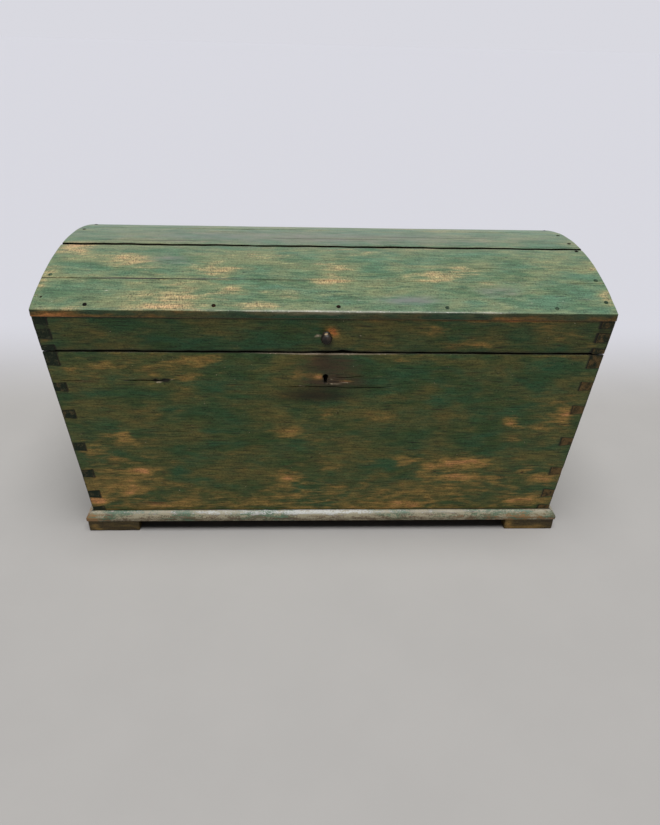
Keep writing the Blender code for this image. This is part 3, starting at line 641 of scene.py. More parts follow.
def mouldingFinish(name, along):
    # rubbed green over cream: a painted highlight, pale, along the top of the round; brown streaks, more of
    # them towards the bottom; ochre where it is worn
    finish = Finish(name, along)
    band, drift, blotch, speck = (finish.noise(*noise) for noise in mouldingNoises.values())
    # each layer: its mark, how much the mark and the noises weigh, its range, its tone and its most
    layers = (
        ("green", 1.2, ((drift, 0.9), (blotch, 0.5), (speck, 0.4)), (-0.4, 1.2), "green", 1.0),
        ("low", 1.3, ((band, 0.7), (blotch, 0.5), (speck, 0.5)), (0.3, 2.0), "brown", 0.9),
        ("worn", 1.9, ((band, 0.5), (blotch, 0.5), (speck, 0.4)), (1.1, 2.3), "ochre", 1.0),
        # the pale layer is a painted highlight
        ("pale", 1.6, ((band, 0.4), (blotch, 0.3), (speck, 0.3)), (0.7, 1.9), "pale", 0.9),
    )
    finish.colour = mouldingTones["cream"]
    for mark, weight, noises, limits, tone, most in layers:
        value = finish.sum(finish.scaled(finish.mark(mark), weight), finish.blend(*noises))
        finish.lay(value, *limits, mouldingTones[tone], most)
    finish.lay(finish.blend((band, 0.9), (speck, 0.5)), 1.1, 2.4, mouldingTones["dirt"], 0.8)
    finish.lay(finish.mark("grime"), 0.1, 0.9, mouldingTones["dirt"], 0.95)
    finish.dent(finish.blend((band, 0.10), (speck, 0.05)), 0.0005)
    fixed = {"Coat Weight": 0.15, "Coat Roughness": 0.22, "Specular IOR Level": 0.35}
    return finish.done(finish.ramp(band, 0.35, 0.65, 0.34, 0.50), **fixed)


stripTones = {
    "deep": (0.028, 0.070, 0.032),
    "teal": (0.034, 0.092, 0.046),
    "olive": (0.110, 0.092, 0.030),
    "ochre": (0.290, 0.150, 0.040),
    "orange": (0.620, 0.250, 0.075),
    "dirt": (0.010, 0.008, 0.005),
    "stain": (0.034, 0.030, 0.018),
    "chip": (0.480, 0.400, 0.280),
}
railTones = {**shaded(frontTones, 0.82), "orange": (0.600, 0.215, 0.060)}
footTones = {
    **shaded(frontTones, 0.75),
    "deep": (0.070, 0.044, 0.016),
    "teal": (0.060, 0.050, 0.018),
    "olive": (0.085, 0.060, 0.020),
}
# dark tones for the boards' long edges: dirty old wood, and painted shade where these edges line the gap
# between lid and body
edgeDirtAndShadeTones = {
    **frontTones,
    "deep": (0.020, 0.017, 0.010),
    "teal": (0.026, 0.028, 0.016),
    "olive": (0.040, 0.030, 0.015),
    "ochre": (0.090, 0.055, 0.022),
}

frontPaint = paintFinish("green_front_paint", frontTones, bare=0.08, rubbed=3.4, lines=0.85)
railPaint = paintFinish("green_rail_paint", railTones, bare=-0.4, rubbed=2.8)
lidPaint = paintFinish("green_lid_paint", litLidTones, crackle=0.55, bare=0.15, coat=0.10, rubbed=2.4,
                       lines=0.4)
stripPaint = paintFinish("green_strip_paint", stripTones, bare=-0.3, rubbed=2.4)
endPaint = paintFinish("green_end_paint", frontTones, along=1, bare=0.1)
footPaint = paintFinish("rubbed_foot_paint", footTones, bare=0.4)
darkEdge = paintFinish("dirty_edges_and_gap_shade", edgeDirtAndShadeTones)
jointFilthAndShade = filthAndShadeFinish("joint_filth_and_painted_shade")
barePine = pineFinish("bare_pine")
barePineEnds = pineFinish("bare_pine_ends", along=1)
dustyPine = pineFinish("dusty_pine", age=0.2)
endGrain = endGrainFinish("end_grain")
oldIron = ironFinish("old_iron", ironTones, 0.7, 0.15)
nailIron = ironFinish("black_nail_iron", shaded(ironTones, 0.2))
paintedNail = ironFinish("painted_nail_iron", paintedNailTones)
knobWood = knobFinish("knob_wood")
mouldingPaint = mouldingFinish("moulding_paint", 0)
mouldingPaintEnds = mouldingFinish("moulding_paint_ends", 1)
print("finishes made")


# Dovetailed boards

jointGap = 0.0003       # between two boards, as in the CAD
endLimit = reach("crest_stave", 0)[1] - jointGap      # nothing of the lid leans out past the staves


def pinHeights(node):
    # heights of the pins' edges on an end board, narrow ones outside and wide ones inside
    points = nodePoints(node)
    points = points[points[:, 1] < frontY + hair]
    planed = (np.abs(points[:, 0]) > endLimit - hair) & (points[:, 2] < points[:, 2].max() - hair)
    points = points[~planed]
    outside = np.abs(np.abs(points[:, 0]) - halfLength(points[:, 2])) < touch
    narrow = np.unique(np.round(points[outside, 2], 5))
    wide = np.unique(np.round(points[~outside, 2], 5))
    return narrow, wide


def inSpans(values, edges):
    # whether each value lies within a pin, where edges lists the pins' bottoms and tops in turn
    middles = (values[:-1] + values[1:]) / 2
    return np.searchsorted(edges, middles) % 2 == 1


boards = {
    "tailLines": (0.03, 0.12, 0.45, 0.80, 0.97),    # columns across a tail, as shares of its length
    "step": 0.0085,
    "rowStep": 0.0060,
    "rowEases": (0.0004, 0.0011),       # how near an edge the extra rows and columns lie
    "columnEases": (0.0005, 0.0014),
    "staveEases": (0.0008, 0.003),      # the same for a stave's ends, as shares of half its length
}


def tailedBoard(node, pins, near, far, finishes, body, slot, crown=0.0, hole=None, nudge=None, **marks):
    # Front and back boards and rails. Grid columns run from -2 to 2: within 1 of the middle lies
    # the board between the ends' inner faces, beyond it the tails. A tail's upper and lower edges
    # slope from the pins' wide heights to the narrow ones.
    (leftNarrow, leftWide), (rightNarrow, rightWide) = pins
    low, high = leftWide[0], leftWide[-1]
    topPin = min(leftWide[-2], rightWide[-2])
    innerHalf = halfLength(hole["z"] if hole else (low + high) / 2) - boardDeep - jointGap
    tail = [side * (1 + share) for side in (-1, 1) for share in boards["tailLines"] + (1.0,)]
    extra = tail + list(hole["columns"] / innerHalf if hole else ())
    columns = gridLines([-2, -1, 1, 2], (), boards["step"] / innerHalf, extra)
    columns = columns[(np.abs(columns) <= 1) | np.isin(columns, tail)]
    cracks = marks.get("cracks", ())
    rowExtra = crackRows(cracks) + list(hole["rows"] if hole else ())
    rows = gridLines(np.concatenate([leftWide, rightWide]), boards["rowEases"], boards["rowStep"], rowExtra)
    centre = (columns[:-1] + columns[1:]) / 2
    level = (rows[:-1] + rows[1:]) / 2
    keep = np.ones((len(level), len(centre)), bool)
    keep[np.ix_(inSpans(rows, leftWide), centre < -1)] = False
    keep[np.ix_(inSpans(rows, rightWide), centre > 1)] = False
    if hole:
        inHole = np.abs(centre * innerHalf - hole["x"]) < hole["wide"]
        keep[np.ix_(np.abs(level - hole["z"]) < hole["high"], inHole)] = False

    def place(a, b, side):
        share = np.clip(np.abs(a) - 1, 0, 1)
        left, right = np.interp(b, leftWide, leftNarrow), np.interp(b, rightWide, rightNarrow)
        z = b + share * (np.where(a < 0, left, right) - b)
        if side:
            z = np.where(z > topPin, topPin + (z - topPin) * (high + crown - topPin) / (high - topPin), z)
        inner = halfLength(z) - boardDeep - jointGap
        x = np.sign(a) * (np.minimum(np.abs(a), 1) * inner + share * (boardDeep + jointGap))
        if hole:
            x, z = hole["shape"](x, z)
        z = z + crackWander(cracks, x, b) * (side == 0) * np.clip(2 - 2 * np.abs(a), 0, 1)
        if nudge:
            z = z + nudge(x, z)
        y = np.full(a.shape, far if side else near)
        return np.stack([x, y, z], -1)

    slab(node, columns, rows, place, finishes, body, slot, keep, **marks)


def pinnedBoard(node, way, pins, finishes, body, slot, crown=None, rest=0.0, **marks):
    # End boards: columns are depths, and rows are heights at the inner face. Past the shoulders
    # only the pins stand. A crown stretches the rows above the last pin's lower edge to an arc.
    narrow, wide = pins
    shoulder = boardDeep + jointGap
    depths = [0, shoulder, chestDeep - shoulder, chestDeep]
    columns = gridLines(depths, boards["columnEases"], boards["step"])
    rows = gridLines(wide, boards["rowEases"], boards["rowStep"])
    centre = (columns[:-1] + columns[1:]) / 2
    keep = np.ones((len(rows) - 1, len(centre)), bool)
    beyond = (centre < shoulder) | (centre > chestDeep - shoulder)
    keep[np.ix_(~inSpans(rows, wide), beyond)] = False

    def place(a, b, side):
        z = b if side else np.interp(b, wide, narrow)
        y = frontY + a
        edge = wide[-2] if side else narrow[-2]
        if crown:
            z = np.where(z > edge, edge + (z - edge) * (crown(y) - edge) / (wide[-1] - edge), z)
            middle = (a > shoulder + hair) & (a < chestDeep - shoulder - hair)
            z = np.where(middle & (b < wide[0] + hair), rest, z)
        x = way * np.minimum(halfLength(z) - boardDeep * side, endLimit)
        return np.stack([x, y, z], -1)

    slab(node, columns, rows, place, finishes, body, slot, keep, axes=(1, 2, 0.0), **marks)


keyhole = {
    "round": 0.0055,        # radius of its upper part
    "slot": 0.0032,         # half the width of its lower part, widened by use
    "reach": 2.6,           # how far its pull on the grid goes, in its own sizes
    "search": 0.010,        # how far from the plate's middle line its points are looked for
    "columnShares": (0, 0.24, 0.473, 0.75, 1, 1.07, 1.2, 1.45, 1.8, 2.2),
    "rowShares": (-1, -0.7, -0.4, -0.2, 0, 0.25, 0.5, 0.75, 1),
    "beyondShares": (-2.2, -1.8, -1.45, -1.2, -1.07),
}


def keyholeGrid():
    # The hole as a block of missing cells, and the pull that draws its border to the true outline:
    # a point keeps its direction from the middle, and its distance goes from the block's border
    # to the round-and-slot outline, fading out further away.
    points = nodePoints("lock_plate")
    x, search = middleOf("lock_plate", 0), keyhole["search"]
    nearHole = points[(np.abs(points[:, 0] - x) < search) & (np.abs(points[:, 2] - wallHigh) > search)]
    nearHole = nearHole[nearHole[:, 2] > reach("lock_plate", 2)[0] + touch]
    low, high = nearHole[:, 2].min(), nearHole[:, 2].max()
    z, tall, wide = (low + high) / 2, (high - low) / 2, keyhole["round"]
    rise = high - keyhole["round"] - z      # from the middle up to the centre of the round part

    def shape(px, pz):
        dx, dz = px - x, pz - z
        far = np.hypot(dx, dz) + tiny
        c, s = dx / far, dz / far
        sideways, upright = np.abs(c) + tiny, np.abs(s) + tiny
        block = np.minimum(wide / sideways, tall / upright)
        circle = s * rise + np.sqrt(np.maximum(wide ** 2 - (c * rise) ** 2, 0))
        slot = np.minimum(keyhole["slot"] / sideways, np.where(s < 0, tall, rise) / upright)
        outline = np.maximum(circle, slot)
        fade = np.clip((keyhole["reach"] - far / block) / (keyhole["reach"] - 1), 0, 1) ** 1.5
        moved = far + (outline - block) * fade
        return x + c * moved, z + s * moved

    half, beyond = np.array(keyhole["columnShares"]), np.array(keyhole["beyondShares"])
    columns = x + wide * np.concatenate([-half, half[1:]])
    rows = z + tall * np.concatenate([beyond, keyhole["rowShares"], -beyond])
    return {"x": x, "z": z, "wide": wide, "high": tall, "shape": shape, "columns": columns, "rows": rows}


wallPins = (pinHeights("left_end_board"), pinHeights("right_end_board"))
lidPins = (pinHeights("lid_left_end"), pinHeights("lid_right_end"))

# worn patches: place along x, height, half length, half height, strength
frontWear = np.array((
    (-410, 161, 26, 16, 1.0), (-440, 251, 26, 18, 0.8), (-460, 191, 24, 11, 0.6),
    (-510, 217, 26, 16, 0.6), (-520, 416, 16, 9, 0.6), (-450, 423, 24, 11, 0.5),
    (-260, 438, 48, 11, 0.6), (-290, 399, 29, 7, 0.7), (-340, 315, 34, 10, 0.3),
    (-440, 108, 22, 20, 0.6), (-520, 79, 23, 20, 0.9), (-370, 64, 69, 12, 0.6), (-70, 262, 33, 15, 0.8),
    (-80, 141, 32, 20, 0.8), (0, 308, 21, 15, 0.6), (130, 308, 26, 20, 0.6), (180, 190, 29, 16, 0.9),
    (230, 163, 18, 14, 0.6), (10, 169, 20, 14, 0.5), (300, 182, 69, 16, 1.0), (300, 143, 83, 11, 0.9),
    (400, 291, 22, 18, 0.9), (450, 276, 33, 8, 0.6), (420, 244, 18, 16, 0.5), (520, 309, 22, 20, 0.9),
    (510, 140, 28, 17, 0.8), (460, 162, 21, 17, 0.5), (480, 75, 60, 18, 0.6), (190, 65, 59, 12, 0.8),
    (310, 411, 29, 9, 0.4), (250, 441, 41, 7, 0.5), (450, 449, 52, 7, 0.6), (150, 438, 37, 9, 0.6),
    (-50, 402, 29, 14, 0.5), (-20, 435, 49, 14, 0.3), (-18, 400, 12, 9, 0.8), (10, 402, 55, 28, 0.5),
    (38, 390, 20, 5, 0.9), (-470, 150, 110, 110, 0.35), (400, 110, 160, 70, 0.3),
    (-50, 85, 400, 55, 0.55), (-350, 420, 200, 40, 0.25), (500, 330, 50, 90, 0.3),
    (-100, 230, 150, 90, 0.1), (250, 400, 250, 60, -0.25), (380, 85, 30, 16, -0.8),
    (-200, 120, 70, 30, -0.4), (390, 400, 110, 45, -0.45),
)) / patchUnits
# dark smears, the handled brown wood round the keyhole, and pale chips and lines, given in the same way;
# the long pale line on the top edge is worn paint with a painted highlight on it
frontSoot = np.array((
    (-25, 356, 108, 22, 0.72), (-335, 391, 12, 4, 0.6), (10, 378, 100, 8, 0.25), (100, 376, 40, 4, 0.3),
    (-235, 132, 40, 6, 0.22),
)) / patchUnits
frontStains = np.array((
    (20, 388, 85, 12, 0.65), (5, 425, 70, 40, 0.8), (-18, 400, 10, 8, -0.4), (38, 390, 18, 4, -0.4),
    (-380, 392, 45, 4, 0.5), (-390, 70, 60, 6, 0.6), (-500, 388, 40, 5, 0.5),
)) / patchUnits
frontPales = np.array((
    (-52, 378.5, 12, 1.6, 1.2), (14, 384, 20, 1.6, 1.1), (37, 387, 12, 1.4, 0.9), (8, 395, 3, 2, 0.9),
    (12, 425, 10, 1.4, 0.6), (-35, 425, 8, 1.4, 0.5), (-345, 386, 9, 2, 1.3), (-322, 392, 5, 1.8, 1.1),
    (-400, 394.5, 10, 1.2, 0.7), (-370, 73, 30, 1.2, 0.7), (-5, 454.5, 140, 2, 2.2),
    (-400, 300, 4, 4, 0.6), (110, 402, 10, 1.4, 0.6),
)) / patchUnits
railWear = np.array((
    (-460, 493, 25, 9, 0.6), (-350, 464, 20, 7, 0.4), (-560, 480, 16, 21, 0.8), (3, 507, 15, 10, 1.5),
    (13, 497, 11, 12, 1.5), (210, 507, 48, 17, 0.6), (290, 475, 66, 9, 0.6), (120, 474, 37, 9, 0.5),
    (-100, 509, 49, 11, 0.4), (470, 499, 51, 17, 0.4), (540, 475, 29, 9, 0.6),
    (360, 500, 200, 40, 0.35), (360, 529.5, 260, 2, 1.2), (-130, 490, 180, 30, -0.5),
)) / patchUnits
railPales = np.array((
    (-20, 492.5, 7, 3.5, 1.6), (63, 493.5, 5, 2, 0.6), (-10, 462.5, 30, 2, 0.5),
    (340, 529.8, 240, 1.4, 0.6), (-140, 529.8, 100, 1.2, 0.4),
)) / patchUnits
# a painted shadow under the knob, laid on as soot
railKnobShadow = np.array(((1, 476, 14, 12, 0.66),)) / patchUnits

# cracks: start and end along x, height, how deep, half width; pits: place along x, height, radius,
# how deep
frontCracks = np.array((
    (-425, -325, 391, 4, 1.5), (-100, 145, 376.5, 5, 0.9), (5, 85, 400.8, 3, 0.8),
    (-430, -350, 72, 2.5, 0.9), (-20, 170, 127.5, 1.5, 0.7), (-400, -270, 264, 1.2, 0.6),
    (-550, -500, 388.5, 2.5, 0.7),
)) / 1000
frontPits = np.array((
    (-353, 390, 4.5, 3.5), (-333, 388, 6, 4), (480, 244, 3, 2), (290, 103, 4.5, 1.8),
    (450, 154, 3.5, 2), (-30, 199, 3, 1.2), (40, 204, 2.6, 1.4),
)) / 1000


railEdge = {
    "chips": ((0.0038, 0.030, 0.013), (0.0016, -0.012, 0.020)),     # height, place along x, half length
    "ragged": (0.0008, 0.0005),     # worn off all along, and how much that changes
    "reach": 0.006,         # how far up it is felt
}


def chippedRail(x, z):
    # the rail's ragged lower edge, with a chip out of it beside the middle
    worn, swing = railEdge["ragged"]
    rise = worn + swing * np.sin(41 * x + 2 * np.sin(67 * x))
    rise += sum(high * bell(x - place, long) for high, place, long in railEdge["chips"])
    return rise * np.exp((railLow - z) / railEdge["reach"])


wallFinish = [frontPaint, barePine, darkEdge, endGrain]
tailedBoard("front_board", wallPins, frontY, frontInY, wallFinish, "chest_body", "front_paint",
            hole=keyholeGrid(), wear=frontWear, stains=frontStains, pales=frontPales, soot=frontSoot,
            cracks=frontCracks, pits=frontPits, ease=(0.0016, 0.0004))
tailedBoard("back_board", wallPins, backY, backY - boardDeep, wallFinish, "chest_body", "front_paint")
endFinish = [endPaint, barePineEnds, darkEdge, endGrain]
for node, way, pins in (("left_end_board", -1, wallPins[0]), ("right_end_board", 1, wallPins[1])):
    pinnedBoard(node, way, pins, endFinish, "chest_body", "end_paint")


floorBoards = {"step": 0.012, "easing": (0.0010, 0.0005)}


def floorBoard(node):
    (lowX, lowY, lowZ), (highX, highY, highZ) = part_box(node)
    columns = gridLines([-1, 1], (), floorBoards["step"] / highX)
    rows = gridLines([lowY, highY], boards["rowEases"], floorBoards["step"])

    def place(a, b, side):
        z = np.full(a.shape, lowZ if side else highZ)
        return np.stack([a * halfLength(z), b, z], -1)

    finishes = [barePine, dustyPine, dustyPine, endGrain]
    slab(node, columns, rows, place, finishes, "chest_body", "bare_pine", ease=floorBoards["easing"],
         jointDirt=0.3)


for node in ("front_floor_board", "rear_floor_board"):
    floorBoard(node)
print("walls and floor made")


# The lid's frame and staves

lidRest = reach("lid_left_end", 2)[0]
railRise = domeLevel(frontY + boardDeep, underRadius) - domeLevel(frontY, underRadius)


def underDome(y):
    return domeLevel(y, underRadius) - jointGap


railFinish = [railPaint] + wallFinish[1:]
# the rail's darkened rims are partly dirt and partly painted shade of the gap between lid and body; its
# soot is a painted shadow under the knob
tailedBoard("lid_front_rail", lidPins, frontY, frontInY, railFinish, "lid", "front_paint",
            crown=railRise, nudge=chippedRail, wear=railWear, pales=railPales, soot=railKnobShadow,
            ease=(0.0012, 0.0004), jointDirt=1.1)
tailedBoard("lid_back_rail", lidPins, backY, backY - boardDeep, railFinish, "lid", "front_paint",
            crown=railRise)
for node, way, pins in (("lid_left_end", -1, lidPins[0]), ("lid_right_end", 1, lidPins[1])):
    pinnedBoard(node, way, pins, endFinish, "lid", "end_paint", crown=underDome, rest=lidRest)

# worn patches of the dome, and of the strip along its front edge: place along x, depth behind the
# front face, half length, half depth, strength
domeWear = np.array((
    (-310, 36, 90, 24, 0.8), (-310, 6, 75, 10, 1.3), (-230, 120, 65, 30, 0.9), (-190, 55, 34, 15, 0.8),
    (-90, 45, 45, 13, 0.9), (-130, 12, 65, 11, 1.1), (-400, 148, 49, 26, 0.6), (-540, 199, 33, 32, 0.9),
    (0, 86, 48, 15, 1.2), (20, 140, 36, 30, 0.9), (-130, 191, 65, 21, 0.4), (90, 197, 61, 16, 0.6),
    (220, 104, 70, 28, 0.9), (290, 131, 50, 22, 0.9), (330, 78, 30, 13, 0.6), (470, 147, 55, 27, 0.5),
    (420, 12, 30, 8, 0.6), (560, 45, 17, 18, 0.7), (-560, 121, 18, 23, 0.6), (400, 100, 180, 120, -0.3),
    (-340, 130, 200, 100, 0.15), (-530, 225, 45, 10, 0.9), (-500, 4, 60, 6, 0.4),
    (-570, 60, 10, 50, 0.6), (570, 100, 10, 90, 0.5), (-430, 175, 35, 18, 0.9), (20, 222, 60, 12, 0.6),
    (-530, 120, 20, 30, -0.3), (-450, 70, 60, 40, -0.3), (460, 60, 80, 50, -0.3),
    (220, 228, 50, 8, 0.5), (100, 160, 50, 20, -0.4), (-100, 110, 60, 30, -0.4),
)) / patchUnits
stripWear = np.array((
    (-540, -1.5, 80, 4, 1.8), (-360, -1.5, 100, 4, 0.9), (120, -1.5, 80, 4, 0.5),
    (360, -1.5, 80, 4, 1.3), (460, -1.5, 50, 4, 0.8), (560, -1.5, 50, 4, 1.1),
    (-100, -1.5, 170, 4, -1.7),
)) / patchUnits

# cracks: start and end along x, depth, how deep, half width
# the two cracks that run the whole length follow the open joint; their dark widens its line, partly dirt
# and partly painted shade
staveCracks = {
    "front_stave": (
        (400, 450, 83, 1.2, 1), (455, 485, 47, 1.6, 1.4), (460, 480, 29, 1.6, 1.3),
        (505, 530, 36, 1.4, 1.2),
    ),
    "second_stave": (
        (290, 380, 139, 1.6, 0.8), (-500, -400, 125, 1, 0.6), (-660, 660, 236.5, 1.2, 3.6),
        (-480, -240, 89.5, 1, 1.6), (-580, -400, 88.5, 0.6, 0.8), (-280, -20, 90.5, 0.6, 0.8),
    ),
    "crest_stave": (
        (430, 600, 250, 4.5, 1.4), (-350, -100, 330, 1.2, 0.6), (-660, 660, 238.5, 1.2, 2.6),
        (-520, -220, 262, 0.6, 2), (-160, 200, 288, 0.6, 2.2), (50, 420, 310, 0.6, 2.2),
        (-450, -50, 345, 1, 1.4), (100, 340, 268, 0.8, 0.8),
    ),
}
# pits: place along x, depth, radius, how deep
stavePits = {"crest_stave": ((-160, 238.5, 4, 3),)}


def staveEdges(node):
    # depths at which a stave's outer face and its under face begin and end
    points = nodePoints(node)
    radius = np.hypot(points[:, 1] - middleY, points[:, 2] - domeZ)
    faces = (radius > domeRadius - touch, radius < underRadius + touch)
    return [(points[face, 1].min() - frontY, points[face, 1].max() - frontY) for face in faces]


# pale worn arris, with a painted highlight along the front edge, and grey bloom of the dome, given like its
# wear
domePales = np.array((
    (-20, -0.8, 230, 1.4, 1.0), (300, -0.8, 120, 1, 0.7), (18, 12, 6, 2, 0.8), (-440, 52, 4, 3, 1.0),
    (-410, 30, 4, 3, 1.0), (-470, 60, 3, 3, 0.8), (60, 30, 6, 10, 0.5), (360, 20, 100, 8, 0.35),
)) / patchUnits
domeStains = np.array((
    (160, 30, 60, 14, 0.8), (350, 60, 60, 20, 0.5), (-50, 300, 600, 80, 0.55), (-330, 160, 50, 30, 0.5),
)) / patchUnits

openJoint = {
    # how far each lip is worn back, and over what depth
    "lips": {"second_stave": (0.0036, 0.006), "crest_stave": (0.0014, 0.004)},
    "taper": 0.45,          # how much more it gapes at its left end, and less at its right
    "blackened": (0.2328, 0.2412),     # depths between which the lips are blackened: packed dirt and painted shade
    "tight": 0.006,         # how near a closed joint the grain runs straight
}


def stave(node, finishes):
    # the outer face follows the dome; the open joint's lips are worn back, and the edge that is
    # tight against the next stave stays straight
    (near, far), under = staveEdges(node)
    half = reach(node, 0)[1]
    wide, deep = openJoint["lips"].get(node, (0, 1))
    second = node == "second_stave"
    cracks = np.array(staveCracks.get(node, ())) / 1000
    pits = np.array(stavePits.get(node, ())) / 1000
    columns = gridLines([-1, 1], boards["staveEases"], boards["step"] / halfLength(wallHigh))
    rows = gridLines([near, far], boards["rowEases"], boards["rowStep"], crackRows(cracks))

    def place(a, b, side):
        depth = np.interp(b, (near, far), under) if side else b
        z = domeLevel(frontY + depth, underRadius if side else domeRadius)
        x = a * half
        if side == 0:
            opening = np.exp(-(far - b) / deep) if second else -np.exp(-(b - near) / deep)
            held = np.clip((b - near if second else far - b) / openJoint["tight"], 0, 1)
            depth = depth + crackWander(cracks, x, b) * held
            depth -= wide * opening * (1 - openJoint["taper"] * a)
        return np.stack([x, frontY + depth, z], -1)

    blackened = openJoint["blackened"] if node in openJoint["lips"] else None
    slab(node, columns, rows, place, finishes, "lid", "lid_paint", ease=(0.0014, 0.0008),
         wear=domeWear, edgeWear=stripWear, stains=domeStains, pales=domePales, cracks=cracks,
         pits=pits, axes=(0, 1, frontY), jointDirt=0.35, blackened=blackened)


edgeFinish = [lidPaint, barePine, stripPaint, endGrain]
lipFinish = [lidPaint, barePine, jointFilthAndShade, endGrain, jointFilthAndShade]
stave("front_stave", edgeFinish)
stave("second_stave", lipFinish)
stave("crest_stave", lipFinish)
stave("fourth_stave", [lidPaint, barePine, darkEdge, endGrain])
stave("rear_stave", edgeFinish)
print("lid made")


# Base moulding: a fascia with a quarter round above it, mitred at the front corners

moulding = {
    "step": 0.010,
    "easing": 0.0009,       # rounded lower edge
    "waviness": 0.012,      # how much its section shrinks and swells, as a share
    "waveSize": (0.30, 0.30, 0.30),
    "leastSwell": 0.9,
    "roundSteps": 12,
    "bulge": 0.45,          # 1 a quarter round, 0 a plain chamfer
    "stripShare": 0.6,      # where its flat top has its middle point, from the wall to the round
    "wornTop": 0.4,         # how much of its wear is left at its top
    "highlightLine": (0.0025, 0.0045),   # how far under its top the painted highlight line lies, and its half width
    "wallDirt": (1.2, 0.0022),      # dirt by the wall and how far out it goes
    "underDarkening": (0.8, 0.0004),     # darker on the under side, and how far up
    "endDirt": (0.4, 0.0010),       # at its ends, and over what share of its length
}

# rubbed lengths, lengths with the pale painted highlight, and greener lengths: place along x, half length,
# strength
mouldingPatches = {
    "worn": ((-535, 35, 1.3), (470, 90, 1.0), (280, 90, 0.4), (-300, 80, 0.2)),
    "pale": ((0, 150, 1.3), (-240, 100, 0.7), (-420, 80, 0.4), (300, 120, 0.3)),
    "green": ((-490, 30, 1.4), (170, 35, 0.9), (440, 60, 0.6), (-330, 40, 0.4), (0, 120, -0.5)),
}


def mouldingSection():
    # (reach, height) pairs round the section: under side, fascia, quarter round, strip by the wall
    points = nodePoints("front_moulding")
    low, high = reach("front_moulding", 2)
    edge = points[:, 1].min()
    wide, shut = frontY - edge, frontY - points[:, 1].max()
    fascia = points[points[:, 1] < edge + hair, 2].max()
    lip = frontY - points[points[:, 2] > high - hair, 1].min()
    turn = np.linspace(0, math.pi / 2, 4)
    ease = moulding["easing"]
    foot = np.stack([wide - ease + ease * np.sin(turn), low + ease - ease * np.cos(turn)], -1)
    turn = np.linspace(0, math.pi / 2, moulding["roundSteps"] + 1)
    slope, bulge = np.linspace(0, 1, len(turn)), moulding["bulge"]
    crown = np.stack([lip + (wide - lip) * (bulge * np.cos(turn) + (1 - bulge) * (1 - slope)),
                      fascia + (high - fascia) * (bulge * np.sin(turn) + (1 - bulge) * slope)], -1)
    under = np.stack([np.linspace(shut, wide - 2 * ease, 5), np.full(5, low)], -1)
    face = np.stack([np.full(3, wide), np.linspace(low + 2 * ease, fascia - ease, 3)], -1)
    top = np.stack([[lip * moulding["stripShare"], shut], [high, high]], -1)
    back = np.stack([np.full(3, shut), np.linspace(high, low, 5)[1:-1]], -1)
    return np.concatenate([under, foot, face, crown, top, back]), fascia


def mouldingPiece(node, place, finish):
    # the section drawn along place(a, out, height), its height and reach waving a little
    section, fascia = mouldingSection()
    out, up = section.T
    run = np.linspace(0, 1, max(8, int(2 * halfLength(0) / moulding["step"])))
    a, out = np.meshgrid(run, out, indexing="ij")
    height = np.broadcast_to(up, out.shape)
    low, high = height.min(), height.max()
    flat = place(a, out, height)
    swell = 1 - moulding["waviness"] * (1 + ripple(flat, moulding["waveSize"], len(node)))
    swell = np.clip(swell, moulding["leastSwell"], 1)
    rings = place(a, np.where(out > touch, out * swell, out), low + (height - low) * swell)
    bottom = np.clip((high - height) / (high - fascia), 0, 1)
    marks = {"low": bottom}
    x = 1000 * flat[..., 0]
    for key, patches in mouldingPatches.items():
        marks[key] = sum(strength * bell(x - centre, long) for centre, long, strength in patches)
    # the pale mark, a painted highlight, is kept to a line just under the top of the round
    sunk, wide = moulding["highlightLine"]
    marks["worn"] = marks["worn"] * (moulding["wornTop"] + (1 - moulding["wornTop"]) * bottom)
    marks["pale"] = marks["pale"] * bell(high - sunk - height, wide)
    (wall, wallReach), (under, underReach) = moulding["wallDirt"], moulding["underDarkening"]
    end, endReach = moulding["endDirt"]
    marks["grime"] = wall * np.exp(-out / wallReach) * (height > fascia)
    marks["grime"] += under * (height < low + underReach) + end * np.exp(-np.minimum(a, 1 - a) / endReach)
    piece = tube(node + "_wood", rings, [finish], marks)
    settle(piece, "chest_body", "moulding_paint", node)


mitreShift = reach("left_moulding", 1)[0] - reach("front_moulding", 1)[0]


def alongFront(a, out, height):
    x = (2 * a - 1) * (halfLength(height) + out - mitreShift)
    return np.stack([x, frontY - out, height], -1)


def alongSide(way):
    def place(a, out, height):
        start = frontY + mitreShift - out
        return np.stack([way * (halfLength(height) + out), start + a * (backY - start), height], -1)
    return place


mouldingPiece("front_moulding", alongFront, mouldingPaint)
for node, way in (("left_moulding", -1), ("right_moulding", 1)):
    mouldingPiece(node, alongSide(way), mouldingPaintEnds)


# Feet: low blocks with eased edges

feet = {
    "easing": 0.0025,
    "bendShares": (0.08, 0.3, 0.65, 1.0),   # where rows and columns lie over an eased edge
    "step": 0.004,
}

# rubbed patches of the front feet: place along x, height, half length, half height, strength
footWear = np.array((
    (485, 6, 55, 9, 1.1), (440, 15, 12, 16, 0.6), (-530, 12, 12, 14, 1.0), (-450, 8, 30, 6, 0.4),
)) / patchUnits


def foot(node):
    (lowX, lowY, lowZ), (highX, highY, highZ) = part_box(node)
    middle, half = (lowX + highX) / 2, (highX - lowX) / 2
    inside, outside = (highY, lowY) if highY < middleY else (lowY, highY)
    ease = feet["easing"]
    bends = ease * np.array(feet["bendShares"])
    columns = gridLines([-half, half], (), feet["step"], np.concatenate([bends - half, half - bends]))
    rows = gridLines([lowZ, highZ], (), feet["step"], np.concatenate([lowZ + bends, highZ - bends]))

    def place(a, b, side):
        inward = roundOver(np.minimum(b - lowZ, highZ - b), ease)
        y = np.full(a.shape, inside if side else outside)
        return np.stack([middle + a * (1 - inward / half), y, b], -1)

    slab(node, columns, rows, place, [footPaint] * 4, "chest_body", "foot_paint", ease=(ease, ease),
         wear=footWear, jointDirt=0.0, relief=0.0003)


for node in ("front_left_foot", "front_right_foot", "rear_left_foot", "rear_right_foot"):
    foot(node)
print("moulding and feet made")


# Knob: a turned grid about a line along Y

